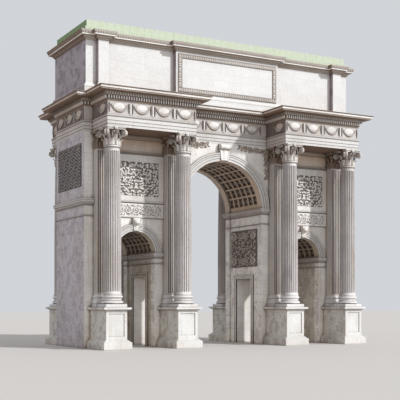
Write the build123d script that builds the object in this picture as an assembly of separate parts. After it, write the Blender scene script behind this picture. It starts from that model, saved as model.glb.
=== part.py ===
from build123d import *
import os
from math import cos, pi, radians, sin, sqrt

# A triumphal arch with three passages, a free-standing fluted column before each pier edge,
# a broken-forward entablature and a tall attic under a copper-covered top.
# X runs along the front, Y from the front to the rear, Z up from the ground.

os.makedirs("parts", exist_ok=True)

# Body of masonry
wall_half_width = 11920
wall_half_depth = 2930

# Main passage, from the ground to the springing of its vault
main_half = 3600
main_spring = 11110

# Side passages: their arches fill the bays between the pilasters and spring below the main arch
side_spring_drop = 3890
side_archivolt_width = 510
side_archivolt_margin = 210

# Vaults: the masonry kept beside the curve, the plain ribs at both mouths and the coffers
main_haunch = 700
side_haunch = 510
main_arch_sides = 24
side_arch_sides = 16
rib_length = 650
passage_recess = 110
coffer_depth = 150
main_row_count = 13
side_row_count = 7
coffer_columns = 6
coffer_bar = 230
plain_angle_main = 5.5
plain_angle_side = 3

# Doorways that lead from the main passage into each side passage
door_half = 1180
door_head_clearance = 620
door_frame_width = 330
door_frame_thickness = 60
door_frame_step = 140

# Orders: columns on pedestals with pilasters behind
outer_axis_margin = 1300
inner_pilaster_margin = 30
column_reach = 2230
pedestal_reach = 3050
dado_half = 815
pedestal_base_spread = 280
pedestal_cap_spread = 250
pedestal_plinth_height = 540
pedestal_base_height = 200
dado_height = 2090
pedestal_cap_height = 220
panel_side_margin = 210
panel_foot_margin = 230
panel_depth = 60
column_plinth_height = 240
column_base_height = 700
torus_setback = 20
shaft_foot_radius = 650
shaft_neck_radius = 560
neck_height = 150
neck_spread = 60
flutes = 24
flute_depth = 55
capital_height = 1310
abacus_height = 190
abacus_half = 840
leaf_count = 8
leaf_root = 0.78
lower_leaf_share = 0.42
upper_leaf_share = 0.34
lower_leaf_tip = 190
upper_leaf_tip = 240
volute_radius = 170
volute_half = 100
round_sides = 12

# Pilasters
pilaster_half = 560
pilaster_reach = 800
pilaster_base_spread = 150
pilaster_flutes = 7
pilaster_flute_width = 95
pilaster_flute_depth = 50
pilaster_bell_spread = 160

# Entablature: its steps stand out from a plane a little beyond the column necks
crown_height = 1340
architrave_height = 820
architrave_step = 25
architrave_crown_reach = 110
break_outer_margin = 50
break_inner_margin = 230
frieze_height = 1030
cornice_height = 920
cornice_reach = 950
dentil_reach = 170
bed_reach = 300
bed_fascia_reach = 330

# Impost mouldings of the main and side passages
main_impost_height = 520
main_impost_reach = 210
bay_impost_height = 190
main_astragal_drop = 1200
side_impost_height = 440
side_impost_reach = 170
side_astragal_drop = 840
astragal_height = 90
astragal_reach = 80

# Arch mouldings and keystones
main_archivolt_width = 650
archivolt_reach = 150
main_key_half = 480
key_foot_share = 0.66
key_roll_share = 0.48
side_key_half = 290
key_reach = 480

# Reliefs on the walls
bay_panel_margin = 450
bay_panel_foot = 390
bay_panel_height = 2570
bay_border_top = 530
bay_border_thickness = 90
relief_thickness = 45
passage_panel_half = 2065
passage_panel_drop = 300
passage_panel_height = 3110
end_panel_half = 2420
end_panel_rise = 940
end_panel_height = 3200

# Attic: as wide as the walls below it and deeper than they are
attic_overhang = 340
attic_plinth_height = 430
attic_base_height = 400
attic_base_reach = 150
attic_wall_height = 3110
attic_cornice_height = 620
attic_cornice_reach = 530
attic_break_reach = 410
attic_pier_margin = 850
attic_pier_width = 830
attic_centre_margin = 180
tablet_margin = 180
tablet_border = 330
tablet_border_thickness = 60
tablet_head_margin = 170

# Copper-covered top
kerb_spread = 30
kerb_height = 380
top_setback = 150
top_height = 520

# Places along the front: columns by the main arch and the corners, side arches between them
inner_axis = main_half + main_archivolt_width + inner_pilaster_margin + pilaster_half
outer_axis = wall_half_width - outer_axis_margin
side_axis = (inner_axis + outer_axis) / 2
bay_half = (outer_axis - inner_axis) / 2 - pilaster_half
side_half = bay_half - side_archivolt_width - side_archivolt_margin
side_inner_jamb = side_axis - side_half
side_outer_jamb = side_axis + side_half
bay_panel_half = bay_half - bay_panel_margin
axes = (-outer_axis, -inner_axis, inner_axis, outer_axis)

# Heights of the arches and of what hangs on them
side_spring = main_spring - side_spring_drop
side_astragal_foot = side_spring - side_astragal_drop
main_astragal_foot = main_spring - main_astragal_drop - astragal_height
door_height = side_astragal_foot - door_head_clearance - door_frame_width
passage_panel_foot = main_astragal_foot - passage_panel_drop - passage_panel_height
end_panel_foot = main_spring + end_panel_rise

# Heights of the orders and the attic
pedestal_dado_foot = pedestal_plinth_height + pedestal_base_height
pedestal_cap_foot = pedestal_dado_foot + dado_height
pedestal_top = pedestal_cap_foot + pedestal_cap_height
base_foot = pedestal_top + column_plinth_height
shaft_foot = base_foot + column_base_height
architrave_foot = main_spring + main_half + crown_height
capital_foot = architrave_foot - capital_height
frieze_foot = architrave_foot + architrave_height
cornice_foot = frieze_foot + frieze_height
attic_foot = cornice_foot + cornice_height
attic_wall_foot = attic_foot + attic_plinth_height + attic_base_height
attic_cornice_foot = attic_wall_foot + attic_wall_height
kerb_foot = attic_cornice_foot + attic_cornice_height
top_foot = kerb_foot + kerb_height

# Planes of the columns, the pedestals and the parts of the entablature that break forward
column_depth = wall_half_depth + column_reach
dado_front = wall_half_depth + pedestal_reach
break_front = column_depth + shaft_neck_radius + break_outer_margin
break_outer = outer_axis + shaft_neck_radius + break_outer_margin
break_inner = inner_axis - shaft_neck_radius - break_inner_margin


def block(x_range, y_range, z_range):
    """A box between two values on each axis."""
    size = [high - low for low, high in (x_range, y_range, z_range)]
    corner = (x_range[0], y_range[0], z_range[0])
    return Pos(*corner) * Box(*size, align=(Align.MIN, Align.MIN, Align.MIN))


def direction(start, end):
    """Unit step of one side of a square-cornered outline."""
    length = abs(end[0] - start[0]) + abs(end[1] - start[1])
    return ((end[0] - start[0]) / length, (end[1] - start[1]) / length)


def outset(outline, distance):
    """Move every side of a square-cornered, counter-clockwise outline outwards."""
    moved = []
    for index, point in enumerate(outline):
        arriving = direction(outline[index - 1], point)
        leaving = direction(point, outline[(index + 1) % len(outline)])
        x = point[0] + distance * (arriving[1] + leaving[1])
        y = point[1] - distance * (arriving[0] + leaving[0])
        moved.append((x, y))
    return moved


def flat(points, level):
    """A level face with the given corners."""
    return Pos(0, 0, level) * make_face(Polyline(*points, close=True))


def frustum(lower, upper, foot, height):
    """A solid with flat sides between two outlines of the same shape, one over the other."""
    bottom = [Vector(x, y, foot) for x, y in lower]
    top = [Vector(x, y, foot + height) for x, y in upper]
    faces = [Face(Wire.make_polygon(bottom)), Face(Wire.make_polygon(top))]
    for index in range(len(bottom)):
        corners = [bottom[index - 1], bottom[index], top[index], top[index - 1]]
        faces.append(Face(Wire.make_polygon(corners)))
    return Part() + Solid(Shell(faces))


def moulding(outline, foot, bands):
    """Stack bands on an outline: each is its height, its lower and its upper spread."""
    body = Part()
    level = foot
    for height, lower, upper in bands:
        body += frustum(outset(outline, lower), outset(outline, upper), level, height)
        level += height
    return body


def rectangle(x_range, y_range):
    """Corners of a rectangle, counter-clockwise."""
    return [
        (x_range[0], y_range[0]),
        (x_range[1], y_range[0]),
        (x_range[1], y_range[1]),
        (x_range[0], y_range[1]),
    ]


def facing_front(sketch, x, y, z, thickness):
    """Stand a sketch upright on a plane parallel to the front and thicken it forwards."""
    return extrude(Plane(origin=(x, y, z), x_dir=(1, 0, 0), z_dir=(0, -1, 0)) * sketch, thickness)


def arch_face(radius, sides):
    """The upper half of a disc, its curve cut into short straight sides like arch stones."""
    step = pi / sides
    points = [(radius * cos(step * i), radius * sin(step * i)) for i in range(sides + 1)]
    return make_face(Polyline(*points, close=True))


def to_rear(piece):
    """The same piece on the rear side."""
    return mirror(piece, about=Plane.XZ)


def to_right(piece):
    """The same piece on the right side."""
    return mirror(piece, about=Plane.YZ)


def save(name, *pieces):
    """Write one node, with each piece as a solid of its own."""
    solids = [solid for piece in pieces for solid in piece.solids()]
    shape = solids[0] if len(solids) == 1 else Compound(children=solids)
    export_step(shape, f"parts/{name}.step")


def save_sides(name, piece):
    """Write a left piece and its mirror image on the right as two nodes."""
    save(f"{name}_left", piece)
    save(f"{name}_right", to_right(piece))


def save_faces(name, *pieces):
    """Write the front pieces and their mirror images on the rear as two nodes."""
    save(f"{name}_front", *pieces)
    save(f"{name}_rear", *[to_rear(piece) for piece in pieces])


# Piers, modelled on the left: the outer pier, and the inner pier with its doorway
depth_range = (-wall_half_depth, wall_half_depth)
recess_range = (rib_length - wall_half_depth, wall_half_depth - rib_length)

outer_pier = block((-wall_half_width, -side_outer_jamb), depth_range, (0, side_spring))
outer_pier += block(
    (-wall_half_width, -side_axis - side_half - side_haunch),
    depth_range,
    (side_spring, main_spring),
)
outer_pier -= block(
    (-side_outer_jamb - passage_recess, -side_outer_jamb), recess_range, (0, side_spring)
)
save_sides("outer_pier", outer_pier)

inner_pier = block((-side_inner_jamb, -main_half), depth_range, (0, side_spring))
inner_pier += block(
    (-side_inner_jamb + side_haunch, -main_half), depth_range, (side_spring, main_spring)
)
inner_pier -= block(
    (-side_inner_jamb, -side_inner_jamb + passage_recess), recess_range, (0, side_spring)
)
inner_pier -= block((-main_half - passage_recess, -main_half), recess_range, (0, main_spring))
doorway = block((-side_inner_jamb, -main_half), (-door_half, door_half), (0, door_height))
inner_pier -= doorway
save_sides("inner_pier", inner_pier)


# Door frames, two steps deep, on both faces of each inner pier
def door_frame(face_x, towards):
    """A moulded frame that stands on a passage wall and opens towards one side."""
    frame = None
    for spread, thickness in (
        (door_frame_width, door_frame_thickness),
        (door_frame_step, door_frame_thickness + passage_recess / 3),
    ):
        far = face_x + towards * thickness
        step = block(
            (min(face_x, far), max(face_x, far)),
            (-door_half - spread, door_half + spread),
            (0, door_height + spread),
        )
        frame = step if frame is None else frame + step
    reach = 2 * passage_recess
    return frame - block(
        (face_x - reach, face_x + reach), (-door_half, door_half), (0, door_height)
    )


save_sides(
    "door_frames",
    Compound(
        children=[
            door_frame(-main_half - passage_recess, 1).solid(),
            door_frame(-side_inner_jamb + passage_recess, -1).solid(),
        ]
    ),
)


# Coffered vaults
def coffered_vault(centre_x, radius, spring, haunch, top, sides, rows, plain_angle):
    """A block of masonry with a barrel vault under it, coffered between two plain ribs."""
    vault = block(
        (centre_x - radius - haunch, centre_x + radius + haunch), depth_range, (spring, top)
    )
    opening = arch_face(radius, sides)
    vault -= facing_front(opening, centre_x, wall_half_depth, spring, 2 * wall_half_depth)
    coffered_radius = radius + passage_recess
    row_angle = (180 - 2 * plain_angle) / rows
    angles = [0] + [plain_angle + row_angle * row for row in range(rows + 1)] + [180]
    corners = [
        (coffered_radius * cos(radians(angle)), coffered_radius * sin(radians(angle)))
        for angle in angles
    ]
    hollow = make_face(Polyline(*corners, close=True))
    recess_length = recess_range[1] - recess_range[0]
    vault -= facing_front(hollow, centre_x, recess_range[1], spring, recess_length)
    pitch = recess_length / coffer_columns
    facet_width = 2 * coffered_radius * sin(radians(row_angle / 2))
    facet_distance = coffered_radius * cos(radians(row_angle / 2))
    coffer = Box(
        coffer_depth,
        pitch - coffer_bar,
        facet_width - coffer_bar * facet_width / pitch,
        align=(Align.MIN, Align.CENTER, Align.CENTER),
    )
    coffers = []
    for row in range(rows):
        angle = plain_angle + row_angle * (row + 0.5)
        for column in range(coffer_columns):
            y = recess_range[0] + pitch * (column + 0.5)
            turned = Pos(centre_x, y, spring) * Rot(0, -angle, 0)
            coffers.append(turned * Pos(facet_distance, 0, 0) * coffer)
    return vault - coffers


main_vault = coffered_vault(
    0,
    main_half,
    main_spring,
    main_haunch,
    architrave_foot,
    main_arch_sides,
    main_row_count,
    plain_angle_main,
)
save("main_vault", main_vault)
side_vault = coffered_vault(
    -side_axis,
    side_half,
    side_spring,
    side_haunch,
    main_spring,
    side_arch_sides,
    side_row_count,
    plain_angle_side,
)
save_sides("side_vault", side_vault)

# Masonry between the main vault and the corners
upper_wall = block(
    (-wall_half_width, -main_half - main_haunch), depth_range, (main_spring, architrave_foot)
)
save_sides("upper_wall", upper_wall)


# Arch mouldings: two flat faces, the outer one standing further forward
def archivolt(centre_x, radius, spring, width, sides):
    """A moulding on the front wall around the upper half of an opening."""
    opening = arch_face(radius, sides)
    inner_disc = arch_face(radius + width * 0.6, sides)
    inner_face = inner_disc - opening
    outer_face = arch_face(radius + width, sides) - inner_disc
    return facing_front(
        inner_face, centre_x, -wall_half_depth, spring, archivolt_reach * 0.6
    ) + facing_front(outer_face, centre_x, -wall_half_depth, spring, archivolt_reach)


# Keystones: a tapered console with a roll at its head
def keystone(centre_x, radius, spring, head, half_width):
    """A console from the crown of an arch up to the given height."""
    crown = spring + radius
    height = head - crown
    roll = half_width * key_roll_share
    side = make_face(
        Polyline(
            (0, 0),
            (key_reach * 0.45, 0),
            (key_reach * 0.6, height * 0.12),
            (key_reach * 0.62, height - 2 * roll),
            (key_reach - roll, height - roll),
            (key_reach - roll, height),
            (0, height),
            close=True,
        )
    )
    upright = Plane(
        origin=(centre_x - half_width, -wall_half_depth, crown),
        x_dir=(0, -1, 0),
        z_dir=(-1, 0, 0),
    )
    console = extrude(upright * side, -2 * half_width)
    wedge = Polyline(
        (-half_width * key_foot_share, 0),
        (half_width * key_foot_share, 0),
        (half_width, height),
        (-half_width, height),
        close=True,
    )
    console &= facing_front(make_face(wedge), centre_x, -wall_half_depth, crown, key_reach)
    scroll = Rot(0, 90, 0) * extrude(RegularPolygon(roll, 10), half_width, both=True)
    return console + Pos(centre_x, roll - wall_half_depth - key_reach, head - roll) * scroll


main_archivolt = archivolt(0, main_half, main_spring, main_archivolt_width, main_arch_sides)
main_key = keystone(0, main_half, main_spring, architrave_foot, main_key_half)
save_faces("main_archivolt", main_archivolt - main_key)

side_key = keystone(-side_axis, side_half, side_spring, main_astragal_foot, side_key_half)
side_archivolt = archivolt(
    -side_axis, side_half, side_spring, side_archivolt_width, side_arch_sides
)
side_archivolt -= side_key
save_faces("side_archivolts", side_archivolt, to_right(side_archivolt))
save_faces("keystones", main_key, side_key, to_right(side_key))


# Pilaster shafts, with flutes on the front
def pilaster_shaft(axis):
    """A flat shaft against the front wall with round-bottomed flutes."""
    shaft = block(
        (axis - pilaster_half, axis + pilaster_half),
        (-wall_half_depth - pilaster_reach, -wall_half_depth),
        (shaft_foot, capital_foot),
    )
    pitch = 2 * pilaster_half / pilaster_flutes
    front = -wall_half_depth - pilaster_reach
    for flute in range(pilaster_flutes):
        x = axis + pitch * (flute - (pilaster_flutes - 1) / 2)
        groove = Polyline(
            (x - pilaster_flute_width / 2, front),
            (x + pilaster_flute_width / 2, front),
            (x + pilaster_flute_width / 4, front + pilaster_flute_depth),
            (x - pilaster_flute_width / 4, front + pilaster_flute_depth),
            close=True,
        )
        length = capital_foot - shaft_foot - 2 * neck_height
        shaft -= extrude(Pos(0, 0, shaft_foot + neck_height) * make_face(groove), length)
    return shaft


def against_wall(piece):
    """Keep what stands before the front wall."""
    return piece - block(
        (-2 * wall_half_width, 2 * wall_half_width), depth_range, (0, architrave_foot)
    )


def pilaster_base(axis):
    """The moulded base of a pilaster, on a plinth of its own."""
    outline = rectangle(
        (axis - pilaster_half, axis + pilaster_half),
        (-wall_half_depth - pilaster_reach, 0),
    )
    spread = pilaster_base_spread
    bands = [
        (column_plinth_height, spread, spread),
        (column_base_height * 0.3, spread * 0.95, spread * 0.95),
        (column_base_height * 0.3, spread * 0.55, spread * 0.4),
        (column_base_height * 0.22, spread * 0.65, spread * 0.65),
        (column_base_height * 0.18, spread * 0.3, 0),
    ]
    return against_wall(moulding(outline, pedestal_top, bands))


def pilaster_capital(axis):
    """The blocked-out capital of a pilaster: astragal, flared bell and abacus."""
    outline = rectangle(
        (axis - pilaster_half, axis + pilaster_half),
        (-wall_half_depth - pilaster_reach, 0),
    )
    bell_height = capital_height - abacus_height
    spread = pilaster_bell_spread
    bands = [
        (bell_height * 0.38, 0, spread * 0.35),
        (bell_height * 0.36, spread * 0.15, spread * 0.6),
        (bell_height * 0.26, spread * 0.4, spread),
        (abacus_height, spread * 1.3, spread * 1.45),
    ]
    return against_wall(moulding(outline, capital_foot, bands))


# Columns: a square plinth, a round base, a fluted tapering shaft and a leafy capital
def ring_points(radius, count, turn=0):
    """Corners of a regular outline."""
    step = 2 * pi / count
    return [(radius * cos(step * i + turn), radius * sin(step * i + turn)) for i in range(count)]


def round_stack(foot, count, bands):
    """Stack tapering drums with flat sides: each band is its height and two radii."""
    body = Part()
    level = foot
    for height, lower, upper in bands:
        body += frustum(ring_points(lower, count), ring_points(upper, count), level, height)
        level += height
    return body


def fluted_points(radius):
    """The star-shaped section of a fluted shaft, an arris between each pair of flutes."""
    hollow = radius * (1 - flute_depth / shaft_foot_radius)
    arrises = ring_points(radius, flutes, pi / flutes)
    hollows = ring_points(hollow, flutes)
    return [point for pair in zip(hollows, arrises) for point in pair]


fluted_top = capital_foot - neck_height
shaft = frustum(
    fluted_points(shaft_foot_radius),
    fluted_points(shaft_neck_radius),
    shaft_foot,
    fluted_top - shaft_foot,
)
astragal_radius = shaft_neck_radius + neck_spread
shaft += round_stack(fluted_top, round_sides, [(neck_height, astragal_radius, astragal_radius)])

torus_radius = dado_half - torus_setback
hollow_radius = shaft_foot_radius + neck_spread
base = block((-dado_half, dado_half), (-dado_half, dado_half), (pedestal_top, base_foot))
base += round_stack(
    base_foot,
    round_sides,
    [
        (column_base_height * 0.4, torus_radius, torus_radius),
        (column_base_height * 0.6, hollow_radius, hollow_radius),
    ],
)


def leaf_points(radius, tip):
    """The outline of a tier of leaves around the bell, each with a pointed tip."""
    valleys = ring_points(radius, leaf_count)
    tips = ring_points(radius + tip, leaf_count, pi / leaf_count)
    return [point for pair in zip(valleys, tips) for point in pair]


def leaf_tier(foot, height, tip, turn):
    """A tier of leaves that lean out from the bell."""
    upper = leaf_points(shaft_neck_radius * 1.05, tip)
    lower = [(x * leaf_root, y * leaf_root) for x, y in upper]
    return Rot(0, 0, turn) * frustum(lower, upper, foot, height)


bell_height = capital_height - abacus_height
upper_tier_foot = capital_foot + bell_height * lower_leaf_share
bell_foot = upper_tier_foot + bell_height * upper_leaf_share
capital = leaf_tier(capital_foot, bell_height * lower_leaf_share, lower_leaf_tip, 0)
capital += leaf_tier(
    upper_tier_foot, bell_height * upper_leaf_share, upper_leaf_tip, 180 / leaf_count
)
capital += round_stack(
    bell_foot,
    leaf_count,
    [(capital_foot + bell_height - bell_foot, shaft_neck_radius * 1.1, shaft_neck_radius * 1.35)],
)
volute_reach = abacus_half * sqrt(2) - volute_radius * 1.45
for corner in (45, 135, 225, 315):
    hexagon = RegularPolygon(volute_radius, 6, rotation=0)
    volute = Rot(90, 0, 0) * extrude(hexagon, volute_half, both=True)
    place = Pos(volute_reach, 0, capital_foot + bell_height - volute_radius * cos(pi / 6))
    capital += Rot(0, 0, corner) * place * volute
abacus_points = []
for side in range(4):
    for along, inwards in ((-0.88, 0), (-0.4, 0.14), (0.4, 0.14), (0.88, 0)):
        point = Vector(abacus_half * (1 - inwards), abacus_half * along)
        turned = point.rotate(Axis.Z, 90 * side)
        abacus_points.append((turned.X, turned.Y))
abacus = flat(abacus_points, capital_foot + bell_height)
capital += extrude(abacus, abacus_height)


# Pedestals, each carrying a pilaster and a column
def pedestal(axis):
    """A pedestal from the wall to before the column, with a sunk panel on its front."""
    outline = rectangle((axis - dado_half, axis + dado_half), (-dado_front, 0))
    base_spread = pedestal_base_spread
    cap_spread = pedestal_cap_spread
    bands = [
        (pedestal_plinth_height, base_spread, base_spread),
        (pedestal_base_height, base_spread * 0.85, 0),
        (dado_height, 0, 0),
        (pedestal_cap_height * 0.35, cap_spread * 0.2, cap_spread * 0.75),
        (pedestal_cap_height * 0.65, cap_spread, cap_spread),
    ]
    body = against_wall(moulding(outline, 0, bands))
    panel = block(
        (axis - dado_half + panel_side_margin, axis + dado_half - panel_side_margin),
        (-dado_front, -dado_front + panel_depth),
        (pedestal_dado_foot + panel_foot_margin, pedestal_cap_foot - panel_foot_margin),
    )
    return body - panel


save_faces("pedestals", *[pedestal(axis) for axis in axes])
save_faces("column_bases", *[Pos(axis, -column_depth, 0) * base for axis in axes])
save_faces("column_shafts", *[Pos(axis, -column_depth, 0) * shaft for axis in axes])
save_faces("column_capitals", *[Pos(axis, -column_depth, 0) * capital for axis in axes])
save_faces("pilaster_bases", *[pilaster_base(axis) for axis in axes])
save_faces("pilaster_shafts", *[pilaster_shaft(axis) for axis in axes])
save_faces("pilaster_capitals", *[pilaster_capital(axis) for axis in axes])

# Impost mouldings: bands that follow the walls, stop at the pilasters and thin out in the bays
pilaster_footprints = [
    block(
        (axis - pilaster_half, axis + pilaster_half),
        (-wall_half_depth - pilaster_reach, wall_half_depth + pilaster_reach),
        (side_astragal_foot, main_spring),
    )
    for axis in axes
]


def wall_band(outline, foot, bands):
    """A moulding around an outline, with the wall inside it left out."""
    height = sum(band[0] for band in bands)
    return moulding(outline, foot, bands) - extrude(flat(outline, foot), height)


def impost_bands(height, reach):
    """The profile of an impost, from its lower fillet to its top."""
    return [
        (height * 0.65, reach * 0.3, reach),
        (height * 0.35, reach, reach),
    ]


astragal_bands = [(astragal_height, astragal_reach, astragal_reach)]
recess_x = -main_half - passage_recess
main_outline = [
    (-wall_half_width, -wall_half_depth),
    (-main_half, -wall_half_depth),
    (-main_half, recess_range[0]),
    (recess_x, recess_range[0]),
    (recess_x, recess_range[1]),
    (-main_half, recess_range[1]),
    (-main_half, wall_half_depth),
    (-wall_half_width, wall_half_depth),
]
main_impost = wall_band(
    main_outline,
    main_spring - main_impost_height,
    impost_bands(main_impost_height, main_impost_reach),
)
main_impost -= pilaster_footprints
bay_left = -outer_axis + pilaster_half
bay_right = -inner_axis - pilaster_half
for bay_range in ((bay_left, bay_right), (-bay_right, -bay_left)):
    main_impost -= block(
        bay_range,
        (-wall_half_depth - main_impost_reach, wall_half_depth + main_impost_reach),
        (main_spring - main_impost_height, main_spring - bay_impost_height),
    )
main_string = wall_band(main_outline, main_astragal_foot, astragal_bands) - pilaster_footprints
save_sides("main_imposts", Compound(children=main_impost.solids() + main_string.solids()))


def side_jamb_outline(jamb, away):
    """The outline of a wall that faces a side passage, recessed between its ribs."""
    recess = jamb + away * passage_recess
    far = jamb + away * 3 * side_half
    points = [
        (jamb, -wall_half_depth),
        (jamb, recess_range[0]),
        (recess, recess_range[0]),
        (recess, recess_range[1]),
        (jamb, recess_range[1]),
        (jamb, wall_half_depth),
        (far, wall_half_depth),
        (far, -wall_half_depth),
    ]
    return points if away < 0 else points[::-1]


side_bands = []
for jamb, away, pilaster_edge in (
    (-side_outer_jamb, -1, -outer_axis + pilaster_half),
    (-side_inner_jamb, 1, -inner_axis - pilaster_half),
):
    outline = side_jamb_outline(jamb, away)
    beyond = pilaster_edge + away * 4 * side_half
    behind_pilaster = block(
        (min(pilaster_edge, beyond), max(pilaster_edge, beyond)),
        (-2 * wall_half_depth, 2 * wall_half_depth),
        (side_astragal_foot, side_spring),
    )
    for foot, bands in (
        (side_spring - side_impost_height, impost_bands(side_impost_height, side_impost_reach)),
        (side_astragal_foot, astragal_bands),
    ):
        side_bands += (wall_band(outline, foot, bands) - behind_pilaster).solids()
save_sides("side_imposts", Compound(children=side_bands))

# Bays over the side passages: a carved band, and a bordered relief above the impost
band_foot = main_astragal_foot + astragal_height
bay_frieze = block(
    (bay_left, bay_right),
    (-wall_half_depth - relief_thickness, -wall_half_depth),
    (band_foot, main_spring - bay_impost_height),
)
panel_foot = main_spring + bay_panel_foot
panel_top = panel_foot + bay_panel_height
panel_x = (-side_axis - bay_panel_half, -side_axis + bay_panel_half)
border = block(
    (bay_left, bay_right),
    (-wall_half_depth - bay_border_thickness, -wall_half_depth),
    (main_spring, panel_top + bay_border_top),
)
border -= block(
    panel_x, (-wall_half_depth - bay_border_thickness, -wall_half_depth), (panel_foot, panel_top)
)
bay_relief = block(
    panel_x, (-wall_half_depth - relief_thickness, -wall_half_depth), (panel_foot, panel_top)
)
save_faces("bay_friezes", bay_frieze, to_right(bay_frieze))
save_faces("bay_borders", border, to_right(border))
save_faces("bay_reliefs", bay_relief, to_right(bay_relief))

# Reliefs in the main passage and on the end walls
passage_relief = block(
    (recess_x, recess_x + relief_thickness),
    (-passage_panel_half, passage_panel_half),
    (passage_panel_foot, passage_panel_foot + passage_panel_height),
)
save("passage_reliefs", passage_relief, to_right(passage_relief))
end_relief = block(
    (-wall_half_width - relief_thickness, -wall_half_width),
    (-end_panel_half, end_panel_half),
    (end_panel_foot, end_panel_foot + end_panel_height),
)
save("end_reliefs", end_relief, to_right(end_relief))


# Entablature, breaking forward over each pair of columns
def broken_outline(half_width, half_depth, breaks, front):
    """A rectangle whose front and rear sides step out between the given values."""
    lower = [(-half_width, -half_depth)]
    for start, end in breaks:
        lower += [(start, -half_depth), (start, -front), (end, -front), (end, -half_depth)]
    lower.append((half_width, -half_depth))
    upper = [(-x, -y) for x, y in lower]
    return lower + upper


column_breaks = [(-break_outer, -break_inner), (break_inner, break_outer)]
entablature = broken_outline(wall_half_width, wall_half_depth, column_breaks, break_front)
architrave_bands = [
    (architrave_height * 0.25, 0, 0),
    (architrave_height * 0.29, architrave_step, architrave_step),
    (architrave_height * 0.33, 2 * architrave_step, 2 * architrave_step),
    (architrave_height * 0.13, 2 * architrave_step, architrave_crown_reach),
]
save("architrave", moulding(entablature, architrave_foot, architrave_bands))
save("frieze", extrude(flat(entablature, frieze_foot), frieze_height))
cornice_bands = [
    (cornice_height * 0.1, 2 * architrave_step, 2 * architrave_step),
    (cornice_height * 0.22, dentil_reach, dentil_reach),
    (cornice_height * 0.12, dentil_reach, bed_reach),
    (cornice_height * 0.16, bed_fascia_reach, bed_fascia_reach),
    (cornice_height * 0.17, cornice_reach * 0.8, cornice_reach * 0.8),
    (cornice_height * 0.23, cornice_reach * 0.85, cornice_reach),
]
save("cornice", moulding(entablature, cornice_foot, cornice_bands))

# Attic: a base, a wall that breaks forward at the end piers and the centre, and a cornice
attic_half_depth = wall_half_depth + attic_overhang
attic_pier_outer = wall_half_width - attic_pier_margin
attic_pier_inner = attic_pier_outer - attic_pier_width
attic_centre_half = inner_axis - attic_centre_margin
attic_breaks = [
    (-attic_pier_outer, -attic_pier_inner),
    (-attic_centre_half, attic_centre_half),
    (attic_pier_inner, attic_pier_outer),
]
attic_outline = broken_outline(
    wall_half_width, attic_half_depth, attic_breaks, attic_half_depth + attic_break_reach
)
attic_base_bands = [
    (attic_plinth_height + attic_base_height * 0.45, attic_base_reach, attic_base_reach),
    (attic_base_height * 0.55, attic_base_reach, 0),
]
save("attic_base", moulding(attic_outline, attic_foot, attic_base_bands))
save("attic_wall", extrude(flat(attic_outline, attic_wall_foot), attic_wall_height))
attic_cornice_bands = [
    (attic_cornice_height * 0.35, 0, attic_cornice_reach * 0.5),
    (attic_cornice_height * 0.25, attic_cornice_reach * 0.8, attic_cornice_reach * 0.8),
    (attic_cornice_height * 0.4, attic_cornice_reach * 0.8, attic_cornice_reach),
]
save("attic_cornice", moulding(attic_outline, attic_cornice_foot, attic_cornice_bands))

# Bordered tablet on the centre of the attic, its field left plain
attic_face = -(attic_half_depth + attic_break_reach)
tablet_half = attic_centre_half - tablet_margin
tablet_height = attic_wall_height - tablet_head_margin
tablet_frame = Rectangle(2 * tablet_half, tablet_height, align=(Align.CENTER, Align.MIN))
tablet_field = Rectangle(
    2 * (tablet_half - tablet_border),
    tablet_height - 2 * tablet_border,
    align=(Align.CENTER, Align.MIN),
)
tablet_frame -= Pos(0, tablet_border) * tablet_field
save_faces(
    "tablet_border",
    facing_front(tablet_frame, 0, attic_face, attic_wall_foot, tablet_border_thickness),
)

# Copper-covered top in two steps
for name, spread, foot, height in (
    ("copper_kerb", kerb_spread, kerb_foot, kerb_height),
    ("copper_top", kerb_spread - top_setback, top_foot, top_height),
):
    half_width = wall_half_width + spread
    half_depth = attic_half_depth + spread
    save(
        name,
        block((-half_width, half_width), (-half_depth, half_depth), (foot, foot + height)),
    )
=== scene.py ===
from math import cos, pi, radians, sin, sqrt

import bmesh
import bpy
import numpy as np
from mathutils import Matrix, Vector


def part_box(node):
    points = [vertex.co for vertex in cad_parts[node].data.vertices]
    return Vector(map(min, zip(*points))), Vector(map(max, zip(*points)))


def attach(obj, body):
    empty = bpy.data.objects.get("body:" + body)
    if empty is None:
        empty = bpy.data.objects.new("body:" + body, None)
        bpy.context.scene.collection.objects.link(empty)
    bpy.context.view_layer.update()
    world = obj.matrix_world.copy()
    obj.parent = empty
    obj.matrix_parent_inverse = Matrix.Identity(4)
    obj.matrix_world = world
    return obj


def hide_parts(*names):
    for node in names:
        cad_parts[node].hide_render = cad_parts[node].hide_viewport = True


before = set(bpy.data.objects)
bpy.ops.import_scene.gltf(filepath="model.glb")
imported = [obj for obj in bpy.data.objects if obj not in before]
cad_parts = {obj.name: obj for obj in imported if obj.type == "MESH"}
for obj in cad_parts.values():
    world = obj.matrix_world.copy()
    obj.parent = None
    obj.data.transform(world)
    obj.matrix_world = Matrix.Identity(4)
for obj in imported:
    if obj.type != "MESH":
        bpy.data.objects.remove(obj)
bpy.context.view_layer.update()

# The view: a level camera to the left of the arch at a little over head height, far enough away
# that the near pedestals and the far cornice keep the photograph's proportions.
photo_side = 400
focal_pixels = 928.4
horizon_row = 303.27
sensor_width = 36.0
camera_place = (-37.29, -67.15, 3.35)
camera_yaw = radians(28.68)
scene = bpy.context.scene


def add(name, data):
    """Put a new object into the scene."""
    made = bpy.data.objects.new(name, data)
    scene.collection.objects.link(made)
    return made


camera = add("camera", bpy.data.cameras.new("camera"))
camera.data.sensor_width = sensor_width
camera.data.lens = sensor_width * focal_pixels / photo_side
camera.data.shift_y = (horizon_row - photo_side / 2) / photo_side
camera.data.clip_end = 500
camera.location = camera_place
camera.rotation_euler = (radians(90), 0, -camera_yaw)
scene.camera = camera
scene.view_settings.view_transform = "Standard"


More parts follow.
